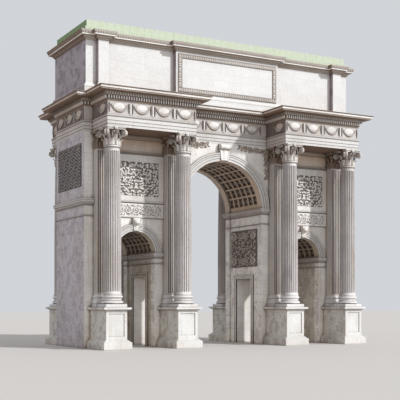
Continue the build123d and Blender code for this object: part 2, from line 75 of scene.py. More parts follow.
# Shader maths for every finish: a wire carries one socket, and arithmetic on wires adds nodes.
class Wire:
    def __init__(self, tree, socket=None):
        self.tree = tree
        self.socket = socket

    def feed(self, node, sockets):
        """Link wires into a node's sockets and set the sockets that get plain values."""
        for name, value in sockets.items():
            if isinstance(value, Wire):
                self.tree.links.new(value.socket, node.inputs[name])
            else:
                node.inputs[name].default_value = value

    def node(self, kind, sockets=None, output=0, **settings):
        """Add a node, set it up, feed its sockets and return one of its outputs."""
        node = self.tree.nodes.new("ShaderNode" + kind)
        for name, value in settings.items():
            setattr(node, name, value)
        self.feed(node, sockets or {})
        return Wire(self.tree, node.outputs[output])

    def maths(self, operation, *values):
        return self.node("Math", dict(enumerate(values)), operation=operation)

    def __add__(self, other):
        return self.maths("ADD", self, other)

    def __radd__(self, other):
        return self.maths("ADD", other, self)

    def __rsub__(self, other):
        return self.maths("SUBTRACT", other, self)

    def __mul__(self, other):
        return self.maths("MULTIPLY", self, other)

    def __gt__(self, other):
        return self.maths("GREATER_THAN", self, other)

    def __abs__(self):
        return self.maths("ABSOLUTE", self)

    def axes(self):
        """The x, y and z of a vector."""
        return [self.node("SeparateXYZ", {0: self}, index) for index in range(3)]

    def between(self, low, high):
        """Stretch the range from low to high over 0 to 1 and cut off the rest."""
        return self.node("MapRange", {0: self, 1: low, 2: high}, clamp=True)

    def noise(self, scale, detail, roughness=0.5):
        """Cloudy noise at the place that this wire gives."""
        sockets = {"Vector": self, "Scale": scale, "Detail": detail, "Roughness": roughness}
        return self.node("TexNoise", sockets)

    def stretched(self, *factors):
        """Multiply a vector's x, y and z by their own factors."""
        return self.node("VectorMath", {0: self, 1: factors}, operation="MULTIPLY")

    def paint(self, colour, amount, blend="MIX"):
        """Lay a colour over this one, or multiply the two, by the given amount."""
        sockets = {0: amount, 6: self, 7: (*colour, 1)}
        return self.node("Mix", sockets, 2, data_type="RGBA", blend_type=blend)

    def plain(self, colour):
        """One plain colour."""
        made = self.node("RGB")
        made.socket.default_value = (*colour, 1)
        return made


def finish(name, build):
    """Make a material: build gets a bare wire and returns what feeds the surface's sockets."""
    material = bpy.data.materials.new(name)
    material.use_nodes = True
    start = Wire(material.node_tree)
    start.feed(material.node_tree.nodes["Principled BSDF"], build(start))
    return material


# Ground and light: a pale floor, a broad warm lamp from the front right as the photograph's sun,
# and an even pale sky that fills the shade.
floor_reach = 260
floor_colour = (0.60, 0.585, 0.57, 1)
corners = [(x * floor_reach, y * floor_reach, 0) for x, y in ((-1, -1), (1, -1), (1, 1), (-1, 1))]
floor = add("floor", bpy.data.meshes.new("floor"))
floor.data.from_pydata(corners, [], [(0, 1, 2, 3)])
floor_sockets = {"Base Color": floor_colour, "Roughness": 0.9}
floor.data.materials.append(finish("pale_floor", lambda start: floor_sockets))

sun_azimuth = radians(35.5)
sun_height = radians(35)
level_share = cos(sun_height)
toward_sun = (sin(sun_azimuth) * level_share, -cos(sun_azimuth) * level_share, sin(sun_height))
sun = add("sun", bpy.data.lights.new("sun", "SUN"))
sun.data.energy = 2.75
sun.data.angle = radians(3)
sun.data.color = (1.0, 0.99, 0.975)
sun.rotation_euler = Vector(toward_sun).to_track_quat("Z", "Y").to_euler()

sky_light = (0.675, 0.67, 0.68, 1)
sky_backdrop = (0.72, 0.745, 0.78)
scene.world = bpy.data.worlds.new("sky")
scene.world.use_nodes = True
sky = Wire(scene.world.node_tree)
seen = sky.node("LightPath", output="Is Camera Ray")
sky_sockets = {0: seen, 6: sky_light, 7: (*sky_backdrop, 1)}
sky_colour = sky.node("Mix", sky_sockets, 2, data_type="RGBA")
background = scene.world.node_tree.nodes["Background"]
sky.feed(background, {"Color": sky_colour, "Strength": 0.88})


# Walls and piers: squared blocks of pale marble in level courses, near white, with ochre streaks,
# violet-grey on the ends as painted shade, and brown in hollows and under ledges from dirt, soot and
# painted shade.
side_passage = (6.0, 9.46)
bay_span = (5.3, 10.3)
rib_end = 2.28
end_wall = 11.5
roof_reach = 2.2


def marble(
    name,
    tone,
    joints=0.0,
    course=0.58,
    block_length=1.25,
    streaks=0.5,
    patches=0.55,
    stains_and_recess_shade=0.0,
    dirt_and_shade=0.9,
    deep=0.8,
    reach=0.35,
    soot_and_shade=0.8,
    sides=(0.93, 0.91, 0.88),
    ends=(1.0, 1.0, 1.0),
    inside=(1.0, 1.0, 1.0),
    through=0.0,
    shelter_shade=(0.88, 0.78, 0.69),
    bay_top_shade=0.0,
    under=(0.42, 0.31, 0.24),
):
    """Weathered marble: joints, stains, and dirt with painted shade in its hollows; painted shade also
    tints its sides, ends and undersides, inside arches and under overhangs.
    """

    def build(start):
        place = start.node("TexCoord", output="Object")
        normal = start.node("NewGeometry", output="Normal")
        x, y, z = place.axes()
        side_face, front_face, up_face = normal.axes()
        to_front = abs(front_face)
        to_side = abs(side_face)
        off_middle = abs(x)
        near, far = side_passage
        in_side_bay = off_middle.between(near, near + 0.005) * off_middle.between(far + 0.02, far)
        between_ribs = abs(y).between(rib_end + 0.005, rib_end)
        in_recess = in_side_bay * between_ribs * to_side
        end_face = to_side > 0.6
        along = x * (1 - end_face) + y * end_face
        bricks = {
            "Vector": start.node("CombineXYZ", {0: along, 1: z, 2: 0.0}),
            "Color1": (0.0, 0.0, 0.0, 1),
            "Color2": (1.0, 1.0, 1.0, 1),
            "Mortar": (0.5, 0.5, 0.5, 1),
            "Scale": 1.0,
            "Mortar Size": 0.008,
            "Mortar Smooth": 0.2,
            "Brick Width": block_length,
            "Row Height": course,
        }
        block_tone = start.node("TexBrick", bricks, "Color", offset=0.5)
        joint = start.node("TexBrick", bricks, "Fac", offset=0.5)
        cloud = place.noise(0.4, 4.0)
        patch = place.noise(1.7, 6.0, 0.68)
        grain = place.noise(12.0, 5.0)
        streak = place.stretched(3.0, 3.0, 0.22).noise(1.0, 5.0, 0.62)
        # Short reach ambient occlusion: dirt and painted shade in the hollows.
        open_air = start.node("AmbientOcclusion", {"Distance": reach}, "AO", samples=8)
        # Long reach ambient occlusion: painted shade where overhangs hide the sky.
        roofed = {"Distance": roof_reach}
        under_roof = start.node("AmbientOcclusion", roofed, "AO", samples=6)

        flat_side = to_side.between(0.6, 0.9)
        squares = {"Vector": place, "Scale": 2.1, "Randomness": 0.8}
        square = start.node("TexVoronoi", squares, "Color", distance="CHEBYCHEV")
        shaded_inside = between_ribs.maths("MAXIMUM", between_ribs, through)
        near, far = bay_span
        in_bay = off_middle.between(near, near + 0.1) * off_middle.between(far, far - 0.1) * to_front
        multiply = (
            ((0.80, 0.79, 0.80), block_tone.between(0.3, 1.0) * joints),
            ((0.84, 0.82, 0.79), cloud.between(0.42, 0.66) * min(1, patches * 1.8)),
        )
        cover = (
            ((0.50, 0.47, 0.45), patch.between(0.56, 0.76) * patches),
            ((0.17, 0.16, 0.22), patch.between(0.34, 0.20) * streaks),
            ((0.52, 0.41, 0.25), streak.between(0.56, 0.80) * streaks),
            ((0.26, 0.25, 0.29), streak.between(0.40, 0.22) * streaks),
        )
        weather_and_shade = (
            ((0.84, 0.83, 0.82), grain.between(0.45, 0.7)),
            # Painted shade: darker on the faces that look sideways.
            (sides, to_side.between(0.35, 0.95)),
            # Painted shade inside the arches.
            (inside, to_front.between(0.8, 0.3) * shaded_inside),
            # Painted shade on the end walls.
            (ends, off_middle.between(end_wall, end_wall + 0.1) * flat_side),
            # Dirt and painted shade on the recessed walls between the side passages' ribs; the next
            # two are stains.
            ((0.60, 0.56, 0.47), in_recess * stains_and_recess_shade),
            ((0.76, 0.73, 0.76), square.between(0.60, 0.64) * flat_side * stains_and_recess_shade),
            ((0.66, 0.61, 0.60), place.noise(4.5, 4.0).between(0.54, 0.68) * flat_side * stains_and_recess_shade),
            # Painted shade: warm where overhangs hide the sky, and at the top of the bays under the
            # entablature.
            (shelter_shade, under_roof.between(0.6, 0.25)),
            ((0.80, 0.62, 0.47), in_bay * z.between(14.4, 15.8) * bay_top_shade),
            # Soot and painted shade on faces that look down; dust on faces that look up.
            (under, (up_face * -1).between(0.3, 0.95) * soot_and_shade),
            ((0.6, 0.58, 0.56), up_face.between(0.5, 0.95) * 0.6),
            ((0.45, 0.42, 0.40), joint * joints),
            # Dirt and painted shade in the hollows.
            ((0.13, 0.09, 0.075), open_air.between(deep, 0.32) * dirt_and_shade),
        )
        colour = start.plain(tone)
        for blend, layers in (("MULTIPLY", multiply), ("MIX", cover), ("MULTIPLY", weather_and_shade)):
            for tint, amount in layers:
                colour = colour.paint(tint, amount, blend)
        height = (grain * 0.35 + patch * 0.65) * 0.6 + joint * -joints
        bump = {"Strength": 0.4, "Distance": 0.014, "Height": height}
        relief = start.node("Bump", bump)
        return {"Base Color": colour, "Roughness": 0.62 + grain * 0.25, "Normal": relief}

    return finish(name, build)


def dress(material, *nodes):
    """Give CAD nodes a finish."""
    for node in nodes:
        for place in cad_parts[node].material_slots:
            place.material = material


def extent(node):
    """A node's half width, front plane, middle height and height."""
    low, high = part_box(node)
    return high[0], -low[1], (low[2] + high[2]) / 2, high[2] - low[2]


def each(name, ends):
    """The names of the nodes that share a first part."""
    return [f"{name}_{end}" for end in ends]


sides = ("left", "right")
faces = ("front", "rear")
wall_marble = marble(
    "wall_marble",
    tone=(0.985, 0.97, 0.95),
    joints=0.4,
    patches=0.4,
    stains_and_recess_shade=0.7,
    dirt_and_shade=0.8,
    sides=(1.0, 0.99, 0.97),
    ends=(0.60, 0.58, 0.65),
    shelter_shade=(0.93, 0.85, 0.76),
    bay_top_shade=1.0,
)
for part in ("outer_pier", "inner_pier", "upper_wall"):
    dress(wall_marble, *each(part, sides))


# Carved pieces are built from sheets of points. A shape keeps its points and faces, and can be
# moved, turned, mirrored and joined before it becomes a mesh.
class Shape:
    def __init__(self, points, faces):
        self.points = np.asarray(points, dtype=float).reshape(-1, 3)
        self.faces = faces

    def __add__(self, other):
        return join([self, other])

    def moved(self, x=0.0, y=0.0, z=0.0):
        return Shape(self.points + np.array([x, y, z]), self.faces)

    def scaled(self, x=1.0, y=1.0, z=1.0):
        faces = self.faces if x * y * z > 0 else [tuple(reversed(face)) for face in self.faces]
        return Shape(self.points * np.array([x, y, z]), faces)

    def turned(self, angle, axis=2):
        """Turn about one axis by an angle in degrees."""
        first, second = {0: (1, 2), 1: (2, 0), 2: (0, 1)}[axis]
        points = self.points.copy()
        c, s = cos(radians(angle)), sin(radians(angle))
        points[:, first] = c * self.points[:, first] - s * self.points[:, second]
        points[:, second] = s * self.points[:, first] + c * self.points[:, second]
        return Shape(points, self.faces)


def join(shapes):
    """Join many shapes into one."""
    joined = []
    shift = 0
    for shape in shapes:
        joined += [tuple(index + shift for index in face) for face in shape.faces]
        shift += len(shape.points)
    return Shape(np.vstack([shape.points for shape in shapes]), joined)


def sheet(points, around=False):
    """A surface through a grid of points, closed on itself across its rows if asked."""
    points = np.array(points)
    rows, columns = points.shape[:2]
    quads = []
    for row in range(rows - 1):
        here, above = row * columns, (row + 1) * columns
        for column in range(columns if around else columns - 1):
            after = (column + 1) % columns
            quads.append((here + column, here + after, above + after, above + column))
    return Shape(points, quads)


def solid(rings):
    """A closed solid through rings of points."""
    body = sheet(rings, around=True)
    count = len(rings[0])
    last = (len(rings) - 1) * count
    caps = [tuple(reversed(range(count))), tuple(range(last, last + count))]
    return Shape(body.points, body.faces + caps)


def lathe(profile, count=64):
    """Turn a profile of radius and height pairs about the vertical."""
    angles = np.linspace(0, 2 * pi, count, endpoint=False)
    return solid([[(r * cos(a), r * sin(a), z) for a in angles] for r, z in profile])


def box_shape(low, high):
    """A closed box."""
    (x0, y0, z0), (x1, y1, z1) = low, high
    return solid([[(x0, y0, z), (x1, y0, z), (x1, y1, z), (x0, y1, z)] for z in (z0, z1)])


def piece(name, shape, material, nodes=(), smooth=40):
    """Make a mesh of a shape, dress it, and let it stand for CAD nodes."""
    mesh = bpy.data.meshes.new(name)
    mesh.from_pydata([tuple(point) for point in shape.points], [], shape.faces)
    mesh.validate()
    work = bmesh.new()
    work.from_mesh(mesh)
    bmesh.ops.recalc_face_normals(work, faces=work.faces)
    work.to_mesh(mesh)
    work.free()
    mesh.materials.append(material)
    mesh.shade_smooth()
    mesh.set_sharp_from_angle(angle=radians(smooth))
    made = add(name, mesh)
    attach(made, "root")
    if nodes:
        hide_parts(*nodes)


# Column bases: a square plinth, then a large roll, a hollow and a smaller roll, cut in one block
# of marble and set on the pedestal.
outer_axis = 10.62
inner_axis = 4.84
column_row = 5.16
column_axes = (-outer_axis, -inner_axis, inner_axis, outer_axis)
outward = {"front": (0, -1, 0), "rear": (0, 1, 0), "left": (-1, 0, 0), "right": (1, 0, 0)}
base_low, base_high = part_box("column_bases_front")
shaft_low, shaft_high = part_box("column_shafts_front")
plinth_half = column_row + base_high[1]
base_foot = base_low[2]
ring_foot = base_foot + 0.24
base_height = shaft_low[2] - ring_foot
foot_radius = 0.65
neck_radius = 0.56


def on_columns(shape, face):
    """Copies of a shape on the four columns of the front or the rear."""
    return join([shape.moved(x, outward[face][1] * column_row) for x in column_axes])


def base_level(share):
    """A height within the round part of a base."""
    return ring_foot + base_height * share


def roll(radius, low, high, bulge):
    """The profile of a rounded moulding between two shares of a base's height."""
    middle, half = (base_level(low) + base_level(high)) / 2, base_height * (high - low) / 2
    angles = np.linspace(-pi / 2, pi / 2, 9)
    return [(radius + bulge * cos(angle), middle + half * sin(angle)) for angle in angles]


outer, inner = plinth_half - 0.09, foot_radius + 0.07
base_profile = roll(plinth_half - 0.12, 0, 0.34, 0.12) + [(outer, base_level(0.38))]
for t in np.linspace(0, 1, 8):
    hollowed = outer + (inner - outer) * t - 0.05 * sin(pi * t)
    base_profile.append((hollowed, base_level(0.38 + 0.22 * t)))
base_profile += [(foot_radius + 0.08, base_level(0.64))]
base_profile += roll(foot_radius + 0.04, 0.64, 0.88, 0.08)
base_profile += [(foot_radius + 0.045, base_level(share)) for share in (0.9, 1)]
plinth = box_shape((-plinth_half, -plinth_half, base_foot), (plinth_half, plinth_half, ring_foot))
base_marble = marble(
    "base_marble",
    tone=(0.90, 0.895, 0.90),
    joints=0.1,
    reach=0.13,
    sides=(0.84, 0.84, 0.87),
    shelter_shade=(0.80, 0.79, 0.81),
)
one_base = plinth + lathe(base_profile)
for face in faces:
    bases = on_columns(one_base, face)
    piece(f"column_base_rings_{face}", bases, base_marble, [f"column_bases_{face}"])

# Shafts: one tall tapering drum with twenty-four round flutes, closed round at head and foot,
# under a plain neck and a small ring.
flutes = 24
flute_depth = 0.068
flute_steps = 7
arris_share = 0.22
shaft_foot = shaft_low[2]
shaft_length = shaft_high[2] - shaft_foot


def fluted_ring(radius, depth):
    """Points around a shaft: a flat arris, then a round hollow, for each flute."""
    points = []
    width = 2 * pi / flutes
    for flute in range(flutes):
        points.append((radius, width * flute))
        for t in np.linspace(arris_share, 1, flute_steps)[:-1]:
            across = (t - arris_share) / (1 - arris_share) * 2 - 1
            cut = depth * sqrt(max(0.0, 1 - across * across))
            points.append((radius - cut, width * (flute + t)))
    return [(r * cos(a), r * sin(a)) for r, a in points]


def shaft_radius(share):
    """Entasis: the shaft keeps its width for a third and then narrows in a curve."""
    taper = max(0.0, (share - 0.33) / 0.67)
    return foot_radius + (neck_radius - foot_radius) * taper**1.6


foot_rings = [(0, 0.06, 0), (0.07, 0.06, 0), (0.11, 0.025, 0), (0.17, 0, 0)]
foot_rings += [(0.20, 0, 0.55), (0.26, 0, 0.9), (0.34, 0, 1)]
head_rings = [(0.52, 0, 1), (0.46, 0, 0.85), (0.42, 0, 0.5), (0.40, 0, 0), (0.24, 0, 0)]
head_rings += [(0.19, 0.015, 0), (0.17, 0.03, 0), (0.13, 0.03, 0), (0.125, 0.045, 0)]
head_rings += [(0.09, 0.06, 0), (0.06, 0.062, 0), (0.02, 0.05, 0), (0, 0.03, 0)]
shaft_rings = [(z, foot_radius + spread, cut) for z, spread, cut in foot_rings]
for share in np.linspace(0.1, 0.92, 12):
    shaft_rings.append((share * shaft_length, shaft_radius(share), 1))
shaft_rings += [(shaft_length - z, neck_radius + spread, cut) for z, spread, cut in head_rings]
shaft_grid = []
for z, radius, cut in shaft_rings:
    ring = fluted_ring(radius, flute_depth * cut)
    shaft_grid.append([(x, y, shaft_foot + z) for x, y in ring])
# Shafts: much darker on the sides that look left and right, as painted shade.
shaft_marble = marble(
    "shaft_marble",
    tone=(0.84, 0.825, 0.83),
    streaks=0.95,
    dirt_and_shade=1.0,
    deep=0.92,
    reach=0.14,
    sides=(0.52, 0.49, 0.50),
)
one_shaft = sheet(shaft_grid, around=True)
for face in faces:
    shafts = on_columns(one_shaft, face)
    piece(f"fluted_shafts_{face}", shafts, shaft_marble, [f"column_shafts_{face}"])

# Capitals: a bell with two tiers of eight leaves, stalks that curl into scrolls under each corner
# of a hollow-sided top slab, and a flower on each side. Carved from one block of marble.
capital_low, capital_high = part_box("column_capitals_front")
capital_foot = capital_low[2]
slab_height = 0.19
slab_dip = 0.115
bell_height = capital_high[2] - capital_foot - slab_height
leaf_columns = 11
leaf_rows = 16


def leaf(height, width, reach, bell=neck_radius):
    """A leaf that climbs the bell, lobed at its edges, ribbed, with a curled tip."""
    grid = []
    for v in np.linspace(0, 1, leaf_rows):
        lobe = 0.82 + 0.18 * abs(sin(v * 4 * pi))
        half = width / 2 * lobe * (1 - max(0.0, (v - 0.62) / 0.38) ** 2 * 0.75)
        curl = max(0.0, (v - 0.55) / 0.45)
        lean = 0.03 + reach * curl**1.8
        z = height * (v if v < 0.8 else 0.8 + 0.2 * sin((v - 0.8) / 0.2 * pi * 0.8) * 0.9)
        line = []
        for u in np.linspace(-1, 1, leaf_columns):
            rib = 0.035 * (1 - abs(u)) + 0.016 * cos(u * 4 * pi) * (1 - abs(u) * 0.3)
            cup = -0.045 * u * u * (0.4 + curl)
            line.append((bell + lean + rib + cup, u * half, z))
        grid.append(line)
    return sheet(grid)


def ribbon(path, width, thickness):
    """A strip with a rounded back that follows a flat path of distance and height."""
    path = np.array(path)
    steps = np.gradient(path, axis=0)
    lengths = np.linalg.norm(steps, axis=1, keepdims=True)
    normals = np.stack([-steps[:, 1], steps[:, 0]], axis=1) / lengths
    section = ((-1, 0), (-0.9, 0.6), (0, 1), (0.9, 0.6), (1, 0))
    grid = []
    for (x, z), (nx, nz), share in zip(path, normals, np.linspace(1, 0.65, len(path))):
        line = []
        for across, lift in section:
            rise = thickness * share * lift
            line.append((x + nx * rise, width / 2 * across, z + nz * rise))
        grid.append(line)
    return sheet(grid, around=True)


def scroll(start, rise, reach, radius, turns=1.6):
    """The path of a stalk that rises and rolls up into a scroll."""
    x, z = start
    path = []
    for t in np.linspace(0, 1, 8)[:-1]:
        path.append((x + reach * t**2 * 0.9, z + (rise + radius) * (1 - (1 - t) ** 1.6)))
    for t in np.linspace(0, 1, 26):
        angle = pi / 2 - t * turns * 2 * pi
        r = radius * (1 - 0.82 * t)
        path.append((x + reach + r * cos(angle), z + rise + r * sin(angle)))
    return path


def slab_outline(half, cut):
    """The hollow-sided outline of a capital's top slab with its corners cut."""
    points = []
    for angle in radians(90) * np.arange(4):
        for t in np.linspace(-1, 1, 9):
            x, y = half - slab_dip * (1 - t * t), t * (half - cut)
            points.append((x * cos(angle) - y * sin(angle), x * sin(angle) + y * cos(angle)))
    return points


def stack(outlines):
    """A closed solid through outlines given with their heights."""
    return solid([[(x, y, z) for x, y in points] for points, z in outlines])


def full_capital():
    """The leaves and the bell of a column capital, around the vertical through its centre."""
    bell_rows = [(0.93, 0), (0.94, 0.5), (1.0, 0.8), (1.14, 0.93), (1.2, 1)]
    bell = lathe([(neck_radius * out, bell_height * up) for out, up in bell_rows], 48)
    width = 2 * pi * neck_radius / 8
    low_leaf = leaf(bell_height * 0.42, width * 0.86, 0.20).moved(0.01)
    high_leaf = leaf(bell_height * 0.74, width * 0.72, 0.27).moved(-0.012)
    parts = []
    for angle in range(0, 360, 45):
        parts += [high_leaf.turned(angle), low_leaf.turned(angle + 22.5)]
    stalk = scroll((neck_radius + 0.06, bell_height * 0.46), bell_height * 0.30, 0.30, 0.225)
    eye = lathe([(0.01, -0.05), (0.19, -0.05), (0.19, 0.05), (0.01, 0.05)], 16).turned(90, axis=0)
    corner_scroll = ribbon(stalk, 0.17, 0.065) + eye.moved(neck_radius + 0.36, 0, bell_height * 0.76)
    curl = ribbon(scroll((0, 0), bell_height * 0.25, 0.16, 0.085, 1.3), 0.07, 0.03).turned(90)
    rosette = lathe([(0.02, -0.05), (0.10, -0.03), (0.13, 0.02), (0.07, 0.05), (0.03, 0.09)], 12)
    rosette = rosette.turned(90, axis=1)
    rosette = rosette.moved(neck_radius + 0.17, 0, bell_height + slab_height * 0.45)
    for angle in range(0, 360, 90):
        for mirror in (-1, 1):
            parts.append(corner_scroll.turned(45 + angle + 5 * mirror))
            small = curl.scaled(y=mirror)
            small = small.moved(neck_radius + 0.11, -0.27 * mirror, bell_height * 0.58)
            parts.append(small.turned(angle))
        parts.append(rosette.turned(angle))
    slab_rows = [(0.745, 0.07, 0), (0.75, 0.07, 0.35), (0.79, 0.075, 0.5), (0.80, 0.075, 0.6)]
    slab_rows += [(0.825, 0.08, 0.8), (0.825, 0.08, 1)]
    slab = []
    for half, cut, up in slab_rows:
        slab.append((slab_outline(half, cut), bell_height + slab_height * up))
    parts.append(stack(slab))
    return join(parts).moved(z=capital_foot), bell.moved(z=capital_foot)


carved_marble = marble(
    "carved_marble",
    tone=(0.88, 0.865, 0.85),
    streaks=0.4,
    dirt_and_shade=1.0,
    deep=0.97,
    reach=0.34,
    sides=(0.60, 0.53, 0.48),
    shelter_shade=(0.76, 0.64, 0.56),
)
# The bells behind the column capitals' leaves are painted dark as shade.
bell_marble = marble("bell_marble", tone=(0.42, 0.33, 0.27), streaks=0.4, deep=0.95, reach=0.2)
one_capital, one_bell = full_capital()
for face in faces:
    capitals = on_columns(one_capital, face)
    piece(f"leafy_capitals_{face}", capitals, carved_marble, [f"column_capitals_{face}"])
    piece(f"capital_bells_{face}", on_columns(one_bell, face), bell_marble)

# Pilasters: flat fluted shafts against the wall, on moulded bases, under leafy capitals that
# repeat the columns' capitals on a flat core.
pilaster_half = 0.56
wall_front = 2.93
pilaster_front = wall_front + 0.80
pilaster_back = wall_front - 0.3


def outset(outline, distance):
    """Move every side of a square-cornered outline outwards."""
    moved = []
    for index, (x, y) in enumerate(outline):
        x0, y0 = outline[index - 1]
        x1, y1 = outline[(index + 1) % len(outline)]
        arriving = np.sign([x - x0, y - y0])
        leaving = np.sign([x1 - x, y1 - y])
        spread = (arriving + leaving) * distance
        moved.append((x + spread[1], y - spread[0]))
    return moved


def moulded(outline, profile, foot=0.0):
    """A solid whose sides follow a profile of spreads and heights above its foot."""
    return stack([(outset(outline, spread), foot + z) for spread, z in profile])


def rectangle(x0, x1, y0, y1):
    return [(x0, y0), (x1, y0), (x1, y1), (x0, y1)]


def curve(start, end, kind="ogee", steps=6):
    """A curved moulding between two spread and height pairs; a torus's end gives its bulge."""
    points = []
    for t in np.linspace(0, 1, steps):
        across, up = {
            "round": (sin(t * pi / 2), 1 - cos(t * pi / 2)),
            "hollow": (1 - cos(t * pi / 2), sin(t * pi / 2)),
            "torus": (sin(t * pi), (1 - cos(t * pi)) / 2),
            "ogee": (0.5 - 0.5 * cos(pi * t), t),
        }[kind]
        reach = end[0] if kind == "torus" else end[0] - start[0]
        points.append((start[0] + reach * across, start[1] + (end[1] - start[1]) * up))
    return points


pilaster_profile = [(0.15, base_foot - ring_foot), (0.15, 0)]
pilaster_profile += curve((0.10, 0), (0.045, 0.23), "torus")
pilaster_profile += [(0.085, 0.25), (0.085, 0.27)] + curve((0.08, 0.27), (0.05, 0.42), steps=4)
pilaster_profile += curve((0.045, 0.44), (0.05, 0.6), "torus") + [(0.03, 0.62), (0.0, base_height)]
pilaster_core = rectangle(-pilaster_half, pilaster_half, pilaster_back, pilaster_front)
pilaster_base = moulded(pilaster_core, pilaster_profile, ring_foot)
for face in faces:
    facing = pilaster_base.scaled(y=outward[face][1])
    bases = join([facing.moved(axis) for axis in column_axes])
    piece(f"pilaster_base_mouldings_{face}", bases, base_marble, [f"pilaster_bases_{face}"])
# Pilaster shafts: a darker copy of the shafts' finish, as painted shade behind the columns.
pilaster_marble = marble(
    "pilaster_marble",
    tone=(0.60, 0.575, 0.565),
    streaks=0.95,
    dirt_and_shade=1.0,
    deep=0.92,
    reach=0.14,
    shelter_shade=(0.88, 0.83, 0.79),
)
dress(pilaster_marble, *each("pilaster_shafts", faces))


def flower(radius, petals, height, rings=5):
    """A round flower that rises from a flat ground: rim, petals and a button in the middle."""
    grid = []
    for ring in range(rings + 1):
        share = 1 - ring / rings
        lift = (0.55 + 0.45 * cos((share - 0.62) * pi * 2)) if share > 0.3 else 1.0
        line = []
        for angle in np.linspace(0, 2 * pi, petals * 6, endpoint=False):
            lobe = abs(cos(petals * angle / 2))
            out = share * radius * (0.78 + 0.22 * lobe if share > 0.3 else 1)
            rise = 0.0 if ring == 0 else height * lift * (0.7 + 0.3 * lobe)
            line.append((out * cos(angle), out * sin(angle), rise))
        grid.append(line)
    return sheet(grid, around=True)


def stood(shape, origin, right, up, out):
    """Place a shape drawn as right, up and out of its ground."""
    axes = np.array([right, up, out], dtype=float)
    return Shape(shape.points @ axes + np.array(origin), shape.faces)


def on_wall(shape, face, x, z, distance):
    """Place a flat shape on one of the four sides, at a place along it, a height and a plane."""
    out = np.array(outward[face])
    right = np.array((-out[1], out[0], 0))
    return stood(shape, x * right + distance * out + (0, 0, z), right, (0, 0, 1), out)


def flat_capital():
    """The leaves and the bell of a pilaster capital, on the front wall about its axis."""
    core_profile = [(0.0, 0.0), (0.0, 0.06), (-0.02, 0.08), (-0.02, bell_height * 0.8)]
    core_profile += curve((-0.02, bell_height * 0.8), (0.1, bell_height), "hollow")
    bell = moulded(pilaster_core, core_profile).scaled(y=-1)
    slab = [(0.14, 0), (0.15, slab_height * 0.4)]
    slab += curve((0.17, slab_height * 0.45), (0.22, slab_height), "round")
    parts = [moulded(pilaster_core, slab, bell_height).scaled(y=-1)]
    width = 2 * pilaster_half / 3
    low_leaf = leaf(bell_height * 0.42, width * 0.74, 0.17, bell=0)
    high_leaf = leaf(bell_height * 0.74, width * 0.62, 0.2, bell=0)
    fronts = [(low_leaf, place) for place in (-1, 0, 1)]
    fronts += [(high_leaf, place) for place in (-1.5, -0.5, 0.5, 1.5)]
    for shape, place in fronts:
        parts.append(shape.turned(-90).moved(place * width, -pilaster_front + 0.03, 0))
    stalk = scroll((-0.2, bell_height * 0.5), bell_height * 0.32, 0.24, 0.19)
    corner_scroll = ribbon(stalk, 0.14, 0.05)
    for side in (-1, 1):
        for shape, depth in ((low_leaf, 0.22), (low_leaf, 0.58), (high_leaf, 0.4)):
            turned = shape.turned(0 if side > 0 else 180)
            parts.append(turned.moved(side * (pilaster_half - 0.03), -wall_front - depth, 0))
        turned = corner_scroll.turned(-90 + side * 50)
        parts.append(turned.moved(side * (pilaster_half - 0.04), -pilaster_front + 0.04, 0))
    boss = flower(0.12, 6, 0.07)
    parts.append(on_wall(boss, "front", 0, bell_height + slab_height * 0.5, pilaster_front + 0.17))
    return join(parts).moved(z=capital_foot), bell.moved(z=capital_foot)


# The pilaster capitals' leaves: a dark copy of the carved finish, as painted shade; their bells are
# near black as shade.
leaf_marble = marble(
    "leaf_marble", tone=(0.40, 0.315, 0.26), streaks=0.4, dirt_and_shade=1.0, deep=0.95, reach=0.25
)
shaded_marble = marble("shaded_marble", tone=(0.32, 0.265, 0.225), deep=0.98, reach=0.3)
# Near-black finish: painted shade for sunk grounds, dentil gaps, coffer frames and the cores behind
# the pilasters' leaves.
sunk_marble = marble("sunk_marble", tone=(0.18, 0.15, 0.135), dirt_and_shade=0.8, reach=0.2)
one_flat_capital, one_flat_bell = flat_capital()
for face in faces:
    leaves, bells = [
        join([shape.scaled(y=-outward[face][1]).moved(axis) for axis in column_axes])
        for shape in (one_flat_capital, one_flat_bell)
    ]
    name = f"leafy_pilaster_capitals_{face}"
    piece(name, leaves, leaf_marble, [f"pilaster_capitals_{face}"])
    piece(f"pilaster_bells_{face}", bells, sunk_marble)

# Neck joints: two thin dark lines round the head of each shaft, where the capital's block and the
# small ring under it were bedded, painted dark as the shade there.
line_radius = neck_radius + 0.055
line_back = neck_radius * 0.9
line_height = 0.045
line_profile = [(line_back, 0), (line_radius, 0), (line_radius, line_height)]
neck_line = lathe(line_profile + [(line_back, line_height)])
shaded_neck_joints = []
for y in (-column_row, column_row):
    for x in column_axes:
        for drop in (0.02, 0.185):
            shaded_neck_joints.append(neck_line.moved(x, y, capital_foot - drop))
piece("shaded_neck_joints", join(shaded_neck_joints), shaded_marble)

# Pedestals: large blocks with a sunk panel on the front, between a splayed foot and a flat cap.
foot_marble = marble(
    "foot_marble",
    tone=(0.82, 0.825, 0.82),
    joints=0.15,
    patches=0.4,
    stains_and_recess_shade=0.8,
    reach=0.13,
    sides=(0.87, 0.85, 0.80),
)
dress(foot_marble, *each("pedestals", faces))

# Imposts: a small cornice in long blocks where each arch springs, thin in the bays, and a rounded
# band lower down. Both are built into the walls and run on behind the pilasters.
body_x = 11.92
main_radius = 3.6
main_spring = 11.11
side_radius = 1.61
side_spring = 7.22
side_axis = 7.73
recess = 0.11
main_band = 9.82
side_band = 6.38


def jamb_outline(far, jamb):
    """The plan of a wall from its middle to a jamb that is recessed between two ribs."""
    back = jamb - recess if jamb > far else jamb + recess
    points = [(far, -wall_front), (jamb, -wall_front), (jamb, -rib_end), (back, -rib_end)]
    points += [(x, -y) for x, y in reversed(points)]
    return points if jamb > far else points[::-1]


